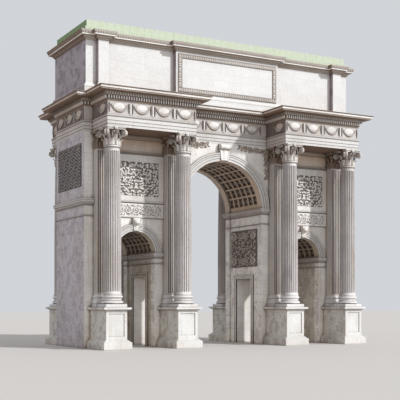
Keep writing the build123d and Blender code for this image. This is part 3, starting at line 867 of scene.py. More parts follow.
def impost(outline, top, height, reach):
    """A small cornice around a plan, with a round band under it."""
    rows = [(0.0, 0.0)] + curve((0.0, 0.0), (0.28, 0.14), "torus", 5) + [(0.14, 0.15)]
    rows += curve((0.2, 0.17), (0.58, 0.44), steps=5) + [(0.62, 0.47), (0.9, 0.5)]
    rows += [(0.9, 0.78), (0.94, 0.8), (1.0, 0.9), (1.0, 1.0)]
    return moulded(outline, [(reach * out, height * (up - 1)) for out, up in rows], top)


def impost_hollows(outline, top, height, reach):
    """Dark strips under the upper and the middle part of an impost: painted shade in its grooves."""
    grooves = []
    for low, high, out in ((0.46, 0.54, 0.66), (0.76, 0.83, 0.95), (0.1, 0.17, 0.3)):
        line = [(0.0, low), (out, low), (out, high), (0.0, high)]
        points = [(reach * share, height * (up - 1)) for share, up in line]
        grooves.append(moulded(outline, points, top))
    return join(grooves)


def band(outline, foot):
    """A rounded band around a plan."""
    rows = curve((0.02, 0), (0.06, 0.065), "torus", 7) + [(0.04, 0.07), (0.04, 0.09)]
    return moulded(outline, rows, foot)


beam_marble = marble(
    "beam_marble",
    tone=(0.76, 0.755, 0.75),
    joints=0.2,
    course=9.0,
    block_length=1.6,
    streaks=0.25,
    patches=0.4,
    dirt_and_shade=1.0,
    reach=0.12,
    soot_and_shade=1.0,
    sides=(0.76, 0.70, 0.68),
    under=(0.25, 0.16, 0.11),
)
# Dark finish: painted shade in the impost grooves.
groove_marble = marble("groove_marble", tone=(0.30, 0.26, 0.235))
main_jamb = jamb_outline(-inner_axis, -main_radius)
pier_end = rectangle(-body_x, -outer_axis, -wall_front, wall_front)
bay = rectangle(-outer_axis, -inner_axis, -wall_front, wall_front)
side_jambs = [
    jamb_outline(-outer_axis, -side_axis - side_radius),
    jamb_outline(-inner_axis, -side_axis + side_radius),
]
main_sizes = (main_spring, 0.52, 0.21)
side_sizes = (side_spring, 0.44, 0.17)
main_impost = [impost(plan, *main_sizes) for plan in (main_jamb, pier_end)]
main_impost += [impost(bay, main_spring, 0.19, 0.14)]
main_impost += [band(plan, main_band) for plan in (main_jamb, pier_end, bay)]
side_impost = [impost(plan, *side_sizes) for plan in side_jambs]
side_impost += [band(plan, side_band) for plan in side_jambs]
hollows = [impost_hollows(plan, *main_sizes) for plan in (main_jamb, pier_end)]
hollows += [impost_hollows(plan, *side_sizes) for plan in side_jambs]
for side in sides:
    mirror = -outward[side][0]
    for label, shapes in (("main", main_impost), ("side", side_impost)):
        shape = join(shapes).scaled(x=mirror)
        nodes = [f"{label}_imposts_{side}"]
        piece(f"{label}_impost_mouldings_{side}", shape, beam_marble, nodes, 25)
    piece(f"impost_grooves_{side}", join(hollows).scaled(x=mirror), groove_marble)

# Arches: a moulding of three steps and a roll around each opening, built of wedge blocks, and a
# console with a round boss as its keystone.
archivolt_out = 0.15


def arch_moulding(radius, width, count):
    """The half ring of an arch moulding, drawn right, up and out."""
    profile = [(0.0, 0.0), (0.0, 0.42), (0.26, 0.42), (0.27, 0.30), (0.30, 0.30), (0.31, 0.66)]
    profile += [(0.57, 0.66), (0.58, 0.5), (0.61, 0.5), (0.62, 0.84), (0.76, 0.84), (0.77, 0.7)]
    profile += [(0.81, 0.7), (0.86, 0.95), (0.93, 1.0), (1.0, 0.98), (1.0, 0.0)]
    rows = [(radius + width * share, archivolt_out * out) for share, out in profile]
    angles = np.linspace(0, pi, count)
    return sheet([[(r * cos(angle), r * sin(angle), out) for r, out in rows] for angle in angles])


def console(half_width, height, reach, roll_radius):
    """A bracket that widens upwards, with a small roll at its foot and a large one at its head."""
    side_line = []
    for t in np.linspace(0, pi, 7):
        side_line.append((height * 0.07 * (1 - cos(t)), reach * (0.36 + 0.16 * sin(t))))
    neck = height - 2.1 * roll_radius
    for t in np.linspace(0.1, 1, 7):
        up = height * 0.14 + (neck - height * 0.14) * t
        side_line.append((up, reach * (0.40 + 0.1 * t * t)))
    for angle in np.linspace(-1.9, pi / 2, 13):
        up = height - roll_radius + roll_radius * sin(angle)
        side_line.append((up, reach - roll_radius + roll_radius * cos(angle)))
    grid = []
    for up, out in side_line:
        half = half_width * (0.66 + 0.34 * up / height)
        right = [(1.0, 0.0), (1.0, out), (0.84, out), (0.8, out - 0.035), (0.3, out - 0.03)]
        right += [(0.14, out + 0.01)]
        line = [(-share * half, up, depth) for share, depth in right] + [(0, up, out + 0.015)]
        grid.append(line + [(share * half, up, depth) for share, depth in reversed(right)])
    return sheet(grid)


def in_bays(shape, face, z, distance):
    """Place a flat shape in both side bays of a front."""
    return join([on_wall(shape, face, x, z, distance) for x in (-side_axis, side_axis)])


band_marble = marble(
    "band_marble",
    tone=(0.97, 0.96, 0.95),
    streaks=0.2,
    patches=0.3,
    dirt_and_shade=0.8,
    reach=0.08,
    shelter_shade=(0.95, 0.91, 0.88),
)
main_ring = arch_moulding(main_radius, 0.65, 73)
side_ring = arch_moulding(side_radius, 0.51, 49)
main_key_height = 1.34
main_key_reach = 0.45
main_key_half = 0.48
roll_radius = 0.23
main_key = console(main_key_half, main_key_height, main_key_reach, roll_radius)
roll_end = flower(roll_radius * 0.8, 6, 0.05)
for sign in (-1, 1):
    origin = (sign * main_key_half * 0.97, main_key_height - roll_radius, main_key_reach - roll_radius)
    main_key += stood(roll_end, origin, (0, 0, -sign), (0, 1, 0), (sign, 0, 0))
boss_profile = [(0.24, 0), (0.23, 0.05), (0.16, 0.12), (0.06, 0.15), (0.01, 0.155)]
side_key = console(0.29, 0.99, 0.4, 0.15) + lathe(boss_profile, 20).moved(0, 0.7, 0.3)
for face in faces:
    ring = on_wall(main_ring, face, 0, main_spring, wall_front)
    piece(f"main_arch_moulding_{face}", ring, beam_marble, [f"main_archivolt_{face}"], 30)
    rings = in_bays(side_ring, face, side_spring, wall_front)
    piece(f"side_arch_mouldings_{face}", rings, beam_marble, [f"side_archivolts_{face}"], 30)
    keys = on_wall(main_key, face, 0, main_spring + main_radius, wall_front)
    keys += in_bays(side_key, face, side_spring + side_radius, wall_front)
    piece(f"scrolled_keys_{face}", keys, band_marble, [f"keystones_{face}"])

# Vaults: cut stone coffers between plain ribs, each framed by two steps painted dark as shade and with
# a flower carved in it; inside the passages the vaults are tinted brown as painted shade.
coffer_depth = 0.15
rib_length = 0.65
coffer_columns = 6
coffer_bar = 0.23
edge_width = coffer_bar * 0.27


def bars(width, height, stile, rail, thickness):
    """A flat frame of two upright and two level bars around a middle."""
    w, h = width / 2, height / 2
    level = box_shape((-w, h - rail, 0), (w, h, thickness))
    upright = box_shape((w - stile, rail - h, 0), (w, h - rail, thickness))
    return join([level, level.scaled(y=-1), upright, upright.scaled(x=-1)])


def vault_ornament(centre_x, radius, spring, rows, plain_angle):
    """The flowers and the frames for all the coffers of a vault."""
    coffered = radius + recess
    row_angle = (180 - 2 * plain_angle) / rows
    length = 2 * (wall_front - rib_length)
    pitch = length / coffer_columns
    facet = 2 * coffered * sin(radians(row_angle / 2))
    rib_face = coffered * cos(radians(row_angle / 2))
    width = pitch - coffer_bar
    height = facet - coffer_bar * facet / pitch
    step = min(width, height) * 0.14
    inner = bars(width, height, step, step, 0.07)
    stile = edge_width * 0.4
    edge = bars(width + 2 * stile, height + 2 * edge_width, stile, edge_width, 0.012)
    bloom = flower(min(width, height) * 0.3, 6, 0.1)
    flowers = []
    frames = []
    for row in range(rows):
        angle = radians(plain_angle + row_angle * (row + 0.5))
        out = np.array((-cos(angle), 0, -sin(angle)))
        up = (sin(angle), 0, -cos(angle))
        for column in range(coffer_columns):
            centre = (centre_x, pitch * (column + 0.5) - length / 2, spring)
            ground = centre - out * (rib_face + coffer_depth)
            flowers.append(stood(bloom, ground, (0, 1, 0), up, out))
            frames.append(stood(inner, ground, (0, 1, 0), up, out))
            frames.append(stood(edge, centre - out * rib_face, (0, 1, 0), up, out))
    return join(flowers), join(frames)


# Dirt in hollows, with painted shade in the hollows and on the vaults' inner faces.
vault_dirt_and_shade = {"joints": 0.3, "dirt_and_shade": 1.0, "deep": 0.9, "reach": 0.32, "soot_and_shade": 0.2, "through": 0.8}
vault_marble = marble(
    "vault_marble", tone=(0.95, 0.935, 0.91), inside=(0.78, 0.63, 0.50), **vault_dirt_and_shade
)
rib_marble = marble("rib_marble", tone=(0.985, 0.97, 0.95), inside=(0.60, 0.50, 0.39), **vault_dirt_and_shade)
dress(vault_marble, "main_vault")
dress(rib_marble, *each("side_vault", sides))
vaults = [("main_vault", 0, main_radius, main_spring, 13, 5.5)]
for side in sides:
    centre_x = outward[side][0] * side_axis
    vaults.append((f"side_vault_{side}", centre_x, side_radius, side_spring, 7, 3))
for label, *sizes in vaults:
    flowers, frames = vault_ornament(*sizes)
    piece(f"{label}_flowers", flowers, vault_marble)
    piece(f"{label}_frames", frames, sunk_marble)


# Spandrels: sprays of leaves carved along the upper edge of the wall beside the main arch, pale above
# darker leaves that fill the hollows between them, painted dark as the shade there.
def petal(length, width, height):
    """One leaf lying on the ground, pointed, with a raised rib."""
    grid = []
    for t in np.linspace(0, 1, 6):
        half = width / 2 * sin(pi * min(1, 0.12 + t * 0.88)) ** 0.7
        rib = height * (0.5 + 0.5 * sin(pi * t))
        grid.append([(t * length, -half, 0), (t * length, 0, rib), (t * length, half, 0)])
    return sheet(grid)


def spray(line, count, size, seed):
    """Leaves strewn along a line in many directions."""
    chance = np.random.default_rng(seed)
    line = np.array(line)
    parts = []
    for index in range(count):
        place = index / count * (len(line) - 1)
        start, end = line[int(place)], line[int(place) + 1]
        u, v = start + (end - start) * (place % 1) + chance.uniform(-0.24, 0.2, 2)
        length = size * chance.uniform(0.7, 1.2)
        blade = petal(length, length * 0.42, 0.06).moved(-length / 2)
        parts.append(blade.turned(chance.uniform(0, 360)).moved(u, v))
    half = join(parts)
    return half + half.scaled(x=-1)


# Dark finish: painted shade in the spandrels' hollows and on the ground of the bay reliefs.
field_marble = marble("field_marble", tone=(0.25, 0.215, 0.195), streaks=0.4, dirt_and_shade=0.8, reach=0.14)
spray_marble = marble("spray_marble", tone=(0.74, 0.69, 0.63), streaks=0.4, reach=0.15)
spandrel_line = [(1.5, 15.86), (2.8, 15.8), (4.0, 15.7), (4.08, 14.9), (4.1, 13.4)]
spandrel = spray(spandrel_line, 110, 0.26, 4)
undergrowth = spray(spandrel_line, 90, 0.3, 9).scaled(z=0.5)
for face in faces:
    sprays = on_wall(spandrel, face, 0, 0, wall_front)
    piece(f"spandrel_sprays_{face}", sprays, spray_marble)
    growth = on_wall(undergrowth, face, 0, 0, wall_front)
    piece(f"spandrel_hollows_{face}", growth, field_marble)

# Doorways: a plain architrave around each opening, with three raised fillets, cut in the same
# blocks as the frame.
door_half = 1.18
door_head = 5.43
smooth_marble = marble(
    "smooth_marble",
    tone=(0.90, 0.89, 0.87),
    joints=0.1,
    streaks=0.35,
    reach=0.13,
    shelter_shade=(0.70, 0.50, 0.37),
)
dress(foot_marble, *each("door_frames", sides))
fillets = []
for near, far, out in ((0.0, 0.05, 0.115), (0.14, 0.17, 0.08), (0.27, 0.33, 0.10)):
    post = box_shape((door_half + near, 0, 0), (door_half + far, door_head + far, out))
    low = (-door_half - near, door_head + near, 0)
    head = box_shape(low, (door_half + near, door_head + far, out))
    fillets += [post, post.scaled(x=-1), head]
door_fillets = join(fillets)
for side, other in (sides, sides[::-1]):
    in_main = on_wall(door_fillets, other, 0, 0, -main_radius - recess)
    in_side = on_wall(door_fillets, side, 0, 0, side_axis - side_radius - recess)
    piece(f"door_fillets_{side}", in_main + in_side, smooth_marble)

# Bays over the side arches: a band of running scrolls, then a bordered panel of scrollwork, with
# string mouldings over both. Carved slabs set flush into the wall.
architrave_foot = 16.05
bay_half = (outer_axis - inner_axis) / 2 - pilaster_half
string_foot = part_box("bay_borders_front")[1][2]
wall_top = architrave_foot - string_foot
# Brown finish for mouldings under overhangs: dirt and painted shade.
moulded_marble = marble(
    "moulded_marble",
    tone=(0.50, 0.43, 0.37),
    joints=0.2,
    course=9.0,
    block_length=1.6,
    reach=0.2,
    soot_and_shade=1.0,
    sides=(0.50, 0.34, 0.27),
)
# Darker finishes: painted shade for the grounds and hollows behind carving and under mouldings, and a
# middle tone as the shade in the undercuts of the band of scrolls.
ground_marble = marble("ground_marble", tone=(0.33, 0.30, 0.275), streaks=0.4, dirt_and_shade=0.8, reach=0.2)
relief_marble = marble("relief_marble", tone=(0.56, 0.51, 0.47), streaks=0.4, reach=0.14)
dress(smooth_marble, *each("bay_borders", faces))
dress(band_marble, *each("bay_friezes", faces))
dress(field_marble, *each("bay_reliefs", faces))
# The hollows under the strings are painted dark as shade.
for label, low, high, out, material in (
    ("strings", 0.15, 0.25, 0.10, moulded_marble),
    ("string_hollows", 0.02, 0.15, 0.05, ground_marble),
    ("crowns", wall_top - 0.30, wall_top, 0.13, moulded_marble),
):
    strip = box_shape((-bay_half, low, -0.05), (bay_half, high, out))
    strips = join([in_bays(strip, face, string_foot, wall_front) for face in faces])
    piece(f"bay_{label}", strips, material)


def tube(path, count=6):
    """A rounded stem along a path drawn right, up and out, with a radius at each point."""
    path = np.array(path, dtype=float)
    steps = np.gradient(path[:, :2], axis=0)
    steps /= np.maximum(np.linalg.norm(steps, axis=1, keepdims=True), 1e-6)
    angles = np.linspace(0, 2 * pi, count, endpoint=False)
    grid = []
    for (u, v, h, radius), (du, dv) in zip(path, steps):
        section = [(radius * cos(angle), radius * 0.8 * sin(angle)) for angle in angles]
        grid.append([(u - dv * across, v + du * across, h + up) for across, up in section])
    return sheet(grid, around=True)


def spiral(radius, turns, start, sign, stem):
    """A stem that rolls up into a spiral, with leaves outside and a flower at its eye."""
    path = []
    for t in np.linspace(0, 1, int(18 * turns)):
        angle = start + sign * t * turns * 2 * pi
        r = radius * (1 - 0.72 * t)
        path.append((r * cos(angle), r * sin(angle), stem * 0.3, stem * (1 - 0.45 * t)))
    parts = [tube(path)]
    for t in np.arange(int(8 * turns)) / (8 * turns):
        angle = start + sign * t * turns * 2 * pi
        r = radius * (1 - 0.72 * t)
        blade = petal(radius * 0.34 * (1 - 0.4 * t), radius * 0.2, stem * 1.1)
        blade = blade.turned(angle * 180 / pi + sign * 55)
        parts.append(blade.moved(r * cos(angle), r * sin(angle)))
    parts.append(flower(radius * 0.26, 5, stem * 1.4, 4))
    return join(parts)


def scroll_row(length, height, count, stem):
    """A running vine: spirals one after another, turning up and down by turns."""
    pitch = length / count
    radius = min(pitch, height) * 0.46
    parts = []
    for index in range(count):
        sign = 1 if index % 2 else -1
        turned = spiral(radius, 1.4, -sign * pi / 2, sign, stem)
        parts.append(turned.moved(-length / 2 + pitch * (index + 0.5)))
    wave = []
    for t in np.linspace(0, 1, count * 8 + 1):
        rise = height * 0.40 * cos(pi * count * t)
        wave.append((-length / 2 + length * t, rise, 0.01, stem * 0.8))
    return join(parts + [tube(wave)])


def arabesque(width, height, rows, columns, stem):
    """A mirrored field of curled leaves, each turned its own way."""
    chance = np.random.default_rng(columns)
    across = width / columns
    up = height / rows
    parts = []
    for row in range(rows):
        for column in range(columns // 2):
            u = across * (column + 0.5 + chance.uniform(-0.12, 0.12))
            v = up * (row + 0.5 + chance.uniform(-0.12, 0.12)) - height / 2
            begin = chance.uniform(0, 2 * pi)
            sweep = chance.uniform(2.6, 4.4) * chance.choice((-1, 1))
            path = []
            for t in np.linspace(0, 1, 9):
                x, y = cos(begin + sweep * t), sin(begin + sweep * t)
                share = 0.40 * (1 - 0.35 * t)
                path.append((across * share * x, up * share * y, 0.02, stem * (1.25 - 0.8 * t)))
            parts.append(tube(path).moved(u, v))
            tip = petal(across * 0.5, up * 0.3, stem).turned(chance.uniform(0, 360)).moved(u, v)
            if chance.random() < 0.75:
                parts.append(tip)
    half = join(parts)
    return half + half.scaled(x=-1)


_, _, band_middle, band_height = extent("bay_friezes_front")
_, relief_plane, relief_middle, relief_height = extent("bay_reliefs_front")
panel_field = arabesque(3.7, relief_height - 0.04, 12, 16, 0.066)
vine = scroll_row(4.5, band_height - 0.14, 7, 0.06)
# A finer, darker arabesque in the band of scrolls: painted shade in its undercuts.
undercut = arabesque(4.4, band_height - 0.16, 4, 20, 0.022)
for face in faces:
    for label, field, middle, material in (
        ("scrollwork", panel_field, relief_middle, band_marble),
        ("vines", vine, band_middle, band_marble),
        ("undercuts", undercut, band_middle, relief_marble),
    ):
        shape = in_bays(field, face, middle, relief_plane)
        piece(f"bay_{label}_{face}", shape, material)

# Passage and end reliefs: an arabesque with two ovals and four round medallions in the main
# passage, and a slanting lattice of leaves on the end walls. Carved slabs let into the piers.
# Near-black finish: painted shade on the ground of the end reliefs; the passage reliefs' ground is
# painted dark as shade too.
hollow_marble = marble("hollow_marble", tone=(0.07, 0.06, 0.062))
dress(sunk_marble, "passage_reliefs")
dress(hollow_marble, "end_reliefs")
passage_x, _, passage_middle, passage_height = extent("passage_reliefs")
passage_plane = passage_x - 0.045


def oval(half_width, half_height, stem):
    """A raised ring with a domed field inside."""
    angles = np.linspace(0, 2 * pi, 29)
    path = [(half_width * cos(a), half_height * sin(a), stem * 0.3, stem) for a in angles]
    return tube(path) + flower(1.0, 4, stem, 3).scaled(half_width * 0.8, half_height * 0.8, 1)


medallions = [arabesque(3.9, passage_height - 0.2, 11, 8, 0.06)]
for v in (-0.34, 0.34):
    medallions.append(oval(0.62, 0.2, 0.06).moved(0, passage_height * v))
    for u in (-1.5, 1.5):
        medallions.append(oval(0.3, 0.24, 0.09).moved(u, passage_height * v))
passage_field = join(medallions)
for side, looking_in in (sides, sides[::-1]):
    shape = on_wall(passage_field, looking_in, 0, passage_middle, -passage_plane)
    piece(f"passage_scrollwork_{side}", shape, carved_marble)

lattice_rows = 13
lattice_columns = 9
end_plane, end_y, end_middle, end_height = extent("end_reliefs")
# Violet-grey: the end lattice painted as the shade on the end walls.
lattice_marble = marble(
    "lattice_marble", tone=(0.40, 0.37, 0.40), streaks=0.1, dirt_and_shade=0.3, reach=0.06
)
long_blade = petal(0.62, 0.10, 0.06).moved(-0.31).turned(-27)
short_blade = petal(0.28, 0.09, 0.06).moved(-0.14).turned(50)
lattice = []
for row in range(lattice_rows):
    for column in range(lattice_columns):
        u = 2 * end_y * ((column + 0.5) / lattice_columns - 0.5)
        v = end_height * ((row + 0.5) / lattice_rows - 0.5)
        if (row // 3 + column) % 2:
            lattice.append(long_blade.moved(u, v))
        else:
            lattice += [short_blade.moved(u + shift, v) for shift in (-0.13, 0.13)]
end_field = join(lattice)
for side in sides:
    shape = on_wall(end_field, side, 0, end_middle, end_plane)
    piece(f"end_scrollwork_{side}", shape, lattice_marble)

# Entablature: long blocks laid from column to column, cut to three steps, under a deep cornice on
# rows of small blocks. It breaks forward over each pair of columns.
frieze_foot = 16.87
cornice_foot = 17.90
break_front = column_row + neck_radius + 0.05
break_outer = outer_axis + neck_radius + 0.05
break_inner = inner_axis - neck_radius - 0.23
drip_marble = marble(
    "drip_marble",
    tone=(0.93, 0.925, 0.92),
    joints=0.4,
    streaks=0.2,
    reach=0.06,
    sides=(0.66, 0.56, 0.50),
)
frieze_marble = marble(
    "frieze_marble",
    tone=(0.67, 0.645, 0.635),
    joints=0.4,
    course=9.0,
    block_length=1.77,
    reach=0.2,
    sides=(0.31, 0.26, 0.24),
)


def broken_outline(half_width, half_depth, breaks, front):
    """A rectangle whose front and rear step out between the given values."""
    lower = [(-half_width, -half_depth)]
    for start, end in breaks:
        lower += [(start, -half_depth), (start, -front), (end, -front), (end, -half_depth)]
    lower.append((half_width, -half_depth))
    return lower + [(-x, -y) for x, y in lower]


def set_along(shape, outline, spread, pitch, z, margin=0.0):
    """Repeat a flat shape along every side of an outline."""
    shapes = []
    corners = outset(outline, spread)
    for index, (x1, y1) in enumerate(corners):
        x0, y0 = corners[index - 1]
        length = abs(x1 - x0) + abs(y1 - y0)
        right = ((x1 - x0) / length, (y1 - y0) / length, 0)
        out = (right[1], -right[0], 0)
        count = round((length - 2 * margin) / pitch)
        for step in range(count):
            place = margin + (length - 2 * margin) * (step + 0.5) / count
            origin = (x0 + right[0] * place, y0 + right[1] * place, z)
            shapes.append(stood(shape, origin, right, (0, 0, 1), out))
    return join(shapes)


def course_strip(reach, low, high):
    """The profile of a flat strip that stands out by its reach."""
    return [(0.0, low), (reach, low), (reach, high), (0.0, high)]


column_breaks = [(-break_outer, -break_inner), (break_inner, break_outer)]
entablature = broken_outline(body_x, wall_front, column_breaks, break_front)
steps = [(0.0, 0.0), (0.0, 0.185)] + curve((0.0, 0.185), (0.022, 0.205), "torus", 4)
steps += [(0.025, 0.205), (0.025, 0.42)] + curve((0.025, 0.42), (0.022, 0.443), "torus", 4)
steps += [(0.05, 0.443), (0.05, 0.70)] + curve((0.055, 0.70), (0.105, 0.79))
steps += [(0.11, 0.79), (0.11, 0.82)]
shape = moulded(entablature, steps, architrave_foot)
piece("architrave_steps", shape, beam_marble, ["architrave"], 25)
# Thin dark strips at the architrave's steps: painted shade under each step.
for label, low, high, reach in (
    ("lower", 0.187, 0.211, 0.027),
    ("upper", 0.422, 0.447, 0.052),
    ("crown", 0.705, 0.76, 0.09),
):
    strip = moulded(entablature, course_strip(reach, low, high), architrave_foot)
    piece(f"architrave_line_{label}", strip, ground_marble)
cornice_profile = curve((0.0, 0.0), (0.06, 0.085))
cornice_profile += [(0.075, 0.09), (0.075, 0.362), (0.17, 0.362)]
cornice_profile += curve((0.18, 0.37), (0.29, 0.54), "round")
cornice_profile += [(0.33, 0.55), (0.33, 0.62), (0.80, 0.62), (0.81, 0.70), (0.84, 0.705)]
cornice_profile += [(0.84, 0.832), (0.87, 0.838)] + curve((0.88, 0.845), (0.935, 0.895))
cornice_profile += [(0.95, 0.90), (0.95, 0.92)]
shape = moulded(entablature, cornice_profile, cornice_foot)
piece("cornice_mouldings", shape, moulded_marble, ["cornice"], 25)
bed_profile = [(0.0, 0.368), (0.176, 0.368), (0.186, 0.38), (0.245, 0.42), (0.288, 0.49)]
bed_profile += [(0.297, 0.54), (0.3, 0.549), (0.0, 0.549)]
# The gaps behind the dentils and the bed under the drip are painted dark as shade, and the dentils are
# near white as painted light.
for label, profile, material in (
    ("drip", course_strip(0.862, 0.708, 0.835), drip_marble),
    ("gaps", course_strip(0.08, 0.094, 0.36), sunk_marble),
    ("bed", bed_profile, ground_marble),
):
    piece(f"cornice_{label}", moulded(entablature, profile, cornice_foot), material)
dentil = box_shape((-0.047, -0.115, 0), (0.047, 0.115, 0.12))
tongue = box_shape((-0.045, -0.08, 0), (0.045, 0.085, 0.07))
dentils = set_along(dentil, entablature, 0.075, 0.2, cornice_foot + 0.245)
tongues = set_along(tongue, entablature, 0.25, 0.2, cornice_foot + 0.46)
piece("cornice_dentils", dentils, drip_marble)
piece("cornice_tongues", tongues, frieze_marble)

# Frieze: plain blocks hung with garlands around oval bosses, and with bunches between them, all carved
# from the same blocks. The bunches and a thin line under each garland are dark with dirt and painted
# shade.
dress(frieze_marble, "frieze")
frieze_height = cornice_foot - frieze_foot
frieze_middle = frieze_foot + frieze_height / 2
frieze_pitch = 1.77


def garland(width, drop, thick):
    """A swag of leaves and fruit between two ends, fat in its middle."""
    path = []
    for t in np.linspace(-1, 1, 21):
        fat = thick * (0.45 + 0.55 * (1 - t * t)) * (1 + 0.16 * abs(sin(t * 5 * pi)))
        path.append((t * width / 2, -drop * (1 - abs(t) ** 2.4), thick * 0.45, fat))
    return tube(path, 8)


def pendant(height, thick):
    """A hanging bunch that narrows to a point."""
    path = []
    for t in np.linspace(0, 1, 12):
        swell = 0.35 + 0.75 * sin(pi * min(1, 0.1 + t * 0.9)) ** 0.8
        path.append((0, -height * t, thick * 0.4, thick * swell * (1 + 0.2 * sin(t * 22))))
    return tube(path, 8)


def dome(half_width, half_height, rise):
    """A smooth oval boss with a narrow rim."""
    rows = ((1, 0), (1, 0.5), (0.93, 0.6), (0.9, 0.4), (0.7, 0.8), (0.35, 1), (0.02, 1))
    angles = np.linspace(0, 2 * pi, 24, endpoint=False)
    grid = [[(share * cos(a), share * sin(a), lift) for a in angles] for share, lift in rows]
    return sheet(grid, around=True).scaled(half_width, half_height, rise)


def hung(count, pitch=frieze_pitch):
    """Garlands around oval bosses, with pairs of bunches and a bar between them."""
    swags = []
    bosses = []
    bunches = []
    length = pitch * count
    for index in range(count):
        middle = -length / 2 + pitch * (index + 0.5)
        swag = garland(pitch - 0.5, frieze_height * 0.45, 0.085)
        swags.append(swag.moved(middle, frieze_height * 0.25))
        # A thinner garland just below each swag, in the bunches' dark finish: a line of painted shade
        # under it.
        edge = garland(pitch - 0.44, frieze_height * 0.51, 0.035)
        bunches.append(edge.moved(middle, frieze_height * 0.25))
        bosses.append(dome(0.45, 0.26, 0.05).moved(middle, frieze_height * 0.14))
    bunch = pendant(frieze_height * 0.68, 0.06)
    bar = box_shape((-0.055, -frieze_height * 0.36, 0), (0.055, frieze_height * 0.38, 0.04))
    for index in range(count + 1):
        place = -length / 2 + pitch * index
        gaps = (0.1,) if index == 0 else (-0.1,) if index == count else (-0.15, 0.15)
        bunches += [bunch.moved(place + gap, frieze_height * 0.36) for gap in gaps]
        if 0 < index < count:
            bosses.append(bar.moved(place))
    return join(swags), join(bosses), join(bunches)


swag_marble = marble("swag_marble", tone=(0.50, 0.46, 0.43), streaks=0.3, reach=0.12)
bunch_marble = marble("bunch_marble", tone=(0.24, 0.21, 0.20), streaks=0.2, reach=0.1)
break_middle = (break_outer + break_inner) / 2
break_run = hung(4, (break_outer - break_inner - 0.04) / 4)
side_run = hung(1)
end_run = hung(3, 1.9)
middle_run = hung(4)
side_run_place = break_front - frieze_pitch / 2 - 0.03
runs = []
for face in faces:
    sign = outward[face][1]
    runs.append((middle_run, face, 0, wall_front))
    runs += [(break_run, face, x, break_front) for x in (-break_middle, break_middle)]
    for side in sides:
        place = sign * side_run_place * outward[side][0]
        runs += [(side_run, side, place, distance) for distance in (break_outer, -break_inner)]
runs += [(end_run, side, 0, body_x) for side in sides]
hung_labels = ("garlands", "bosses", "bunches")
for part, material in enumerate((swag_marble, drip_marble, bunch_marble)):
    shapes = []
    for run, face, place, distance in runs:
        shapes.append(on_wall(run[part], face, place, frieze_middle, distance))
    piece(f"frieze_{hung_labels[part]}", join(shapes), material)

# Attic: a plain plinth and moulded base, a wall with end piers and a tablet whose field is bare,
# and a cornice cut with small leaves.
attic_foot = 18.82
attic_cornice_foot = 22.76
attic_breaks = [(-11.07, -10.24), (-4.66, 4.66), (10.24, 11.07)]
attic_outline = broken_outline(body_x, 3.27, attic_breaks, 3.68)
attic_marble = marble(
    "attic_marble",
    tone=(0.83, 0.835, 0.84),
    joints=0.25,
    streaks=0.15,
    patches=0.15,
    stains_and_recess_shade=1.0,
    dirt_and_shade=0.7,
    sides=(0.49, 0.44, 0.49),
)
sill_marble = marble(
    "sill_marble", tone=(0.62, 0.58, 0.54), joints=0.1, reach=0.14, sides=(0.36, 0.24, 0.18)
)
block_marble = marble("block_marble", tone=(0.97, 0.965, 0.95), streaks=0.1, dirt_and_shade=0.3, reach=0.06)
dress(attic_marble, "attic_wall")
attic_base = [(0.15, 0.0), (0.15, 0.43)] + curve((0.13, 0.44), (0.02, 0.60), "torus")
attic_base += [(0.12, 0.62)] + curve((0.11, 0.64), (0.0, 0.80)) + [(0.0, 0.83)]
shape = moulded(attic_outline, attic_base, attic_foot)
piece("attic_base_mouldings", shape, attic_marble, ["attic_base"], 25)
attic_cornice = [(0.0, 0.0), (0.05, 0.01), (0.05, 0.05)] + curve((0.06, 0.05), (0.20, 0.22))
attic_cornice += [(0.24, 0.22), (0.24, 0.26), (0.41, 0.27), (0.41, 0.36), (0.43, 0.37)]
attic_cornice += curve((0.44, 0.37), (0.51, 0.57)) + [(0.53, 0.58), (0.53, 0.62)]
tip = petal(0.17, 0.14, 0.05).turned(90).moved(0, -0.08)
small_tip = tip.scaled(0.9, 0.9, 1)
shape = moulded(attic_outline, attic_cornice, attic_cornice_foot)
shape += set_along(tip, attic_outline, 0.47, 0.2, attic_cornice_foot + 0.47)
shape += set_along(small_tip, attic_outline, 0.12, 0.2, attic_cornice_foot + 0.14)
piece("attic_cornice_mouldings", shape, sill_marble, ["attic_cornice"], 25)
attic_drip = moulded(attic_outline, course_strip(0.415, 0.275, 0.36), attic_cornice_foot)
piece("attic_cornice_drip", attic_drip, block_marble)

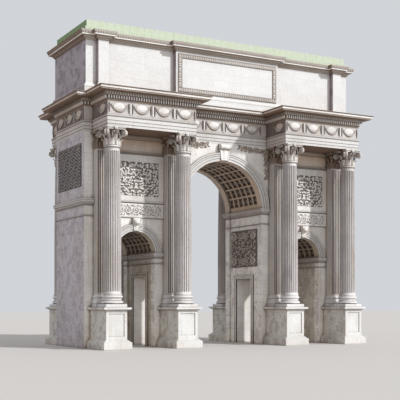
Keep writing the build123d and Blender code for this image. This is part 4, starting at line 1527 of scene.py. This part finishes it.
# Tablet border: a carved wreath of overlapping leaves around the bare field, on a ground painted
# darker as the shade between the leaves.
dress(ground_marble, *each("tablet_border", faces))
border_x, border_plane, border_middle, border_height = extent("tablet_border_front")
border_half = border_height / 2
border_width = 0.33
level_leaves = 44
upright_leaves = 12
border_leaf = petal(0.26, 0.16, 0.05).moved(-0.13)
leaves = []
for sign in (-1, 1):
    for index in range(level_leaves):
        u = border_x * (2 * (index + 0.5) / level_leaves - 1)
        blade = border_leaf.turned(60 if u * sign > 0 else 120)
        leaves.append(blade.moved(u, sign * (border_half - border_width / 2)))
    for index in range(upright_leaves):
        v = (border_half - border_width) * (2 * (index + 0.5) / upright_leaves - 1)
        blade = border_leaf.turned(30 if index % 2 else -30)
        leaves.append(blade.moved(sign * (border_x - border_width / 2), v))
border_leaves = join(leaves)
for face in faces:
    shape = on_wall(border_leaves, face, 0, border_middle, border_plane)
    piece(f"tablet_leaves_{face}", shape, carved_marble)


# Top: sheets of copper, gone green, folded together at standing seams over a stepped roof.
def copper_finish(start):
    place = start.node("TexCoord", output="Object")
    side_face = start.node("NewGeometry", output="Normal").axes()[0]
    streak = place.stretched(2.5, 2.5, 0.5).noise(1.0, 5.0)
    fine = place.noise(9.0, 4.0)
    colour = start.plain((0.56, 0.63, 0.50))
    colour = colour.paint((0.50, 0.59, 0.41), streak.between(0.48, 0.7) * 0.7)
    colour = colour.paint((0.70, 0.74, 0.62), fine.between(0.5, 0.75) * 0.6)
    colour = colour.paint((0.20, 0.24, 0.15), streak.between(0.40, 0.26) * 0.4)
    # Painted shade: the faces that look sideways are a darker green.
    colour = colour.paint((0.36, 0.47, 0.30), abs(side_face).between(0.4, 0.9), "MULTIPLY")
    bump = {"Strength": 0.3, "Distance": 0.01, "Height": fine + streak}
    relief = start.node("Bump", bump)
    return {"Base Color": colour, "Roughness": 0.55 + fine * 0.3, "Normal": relief}


copper = finish("green_copper", copper_finish)
copper_nodes = ("copper_kerb", "copper_top")
dress(copper, *copper_nodes)
seams = []
for node in copper_nodes:
    low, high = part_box(node)
    outline = rectangle(low[0], high[0], low[1], high[1])
    height = high[2] - low[2]
    rib = box_shape((-0.008, -height / 2, -0.005), (0.008, height / 2, 0.008))
    seams.append(set_along(rib, outline, 0.0, 0.62, low[2] + height / 2, 0.1))
piece("copper_seams", join(seams), copper)
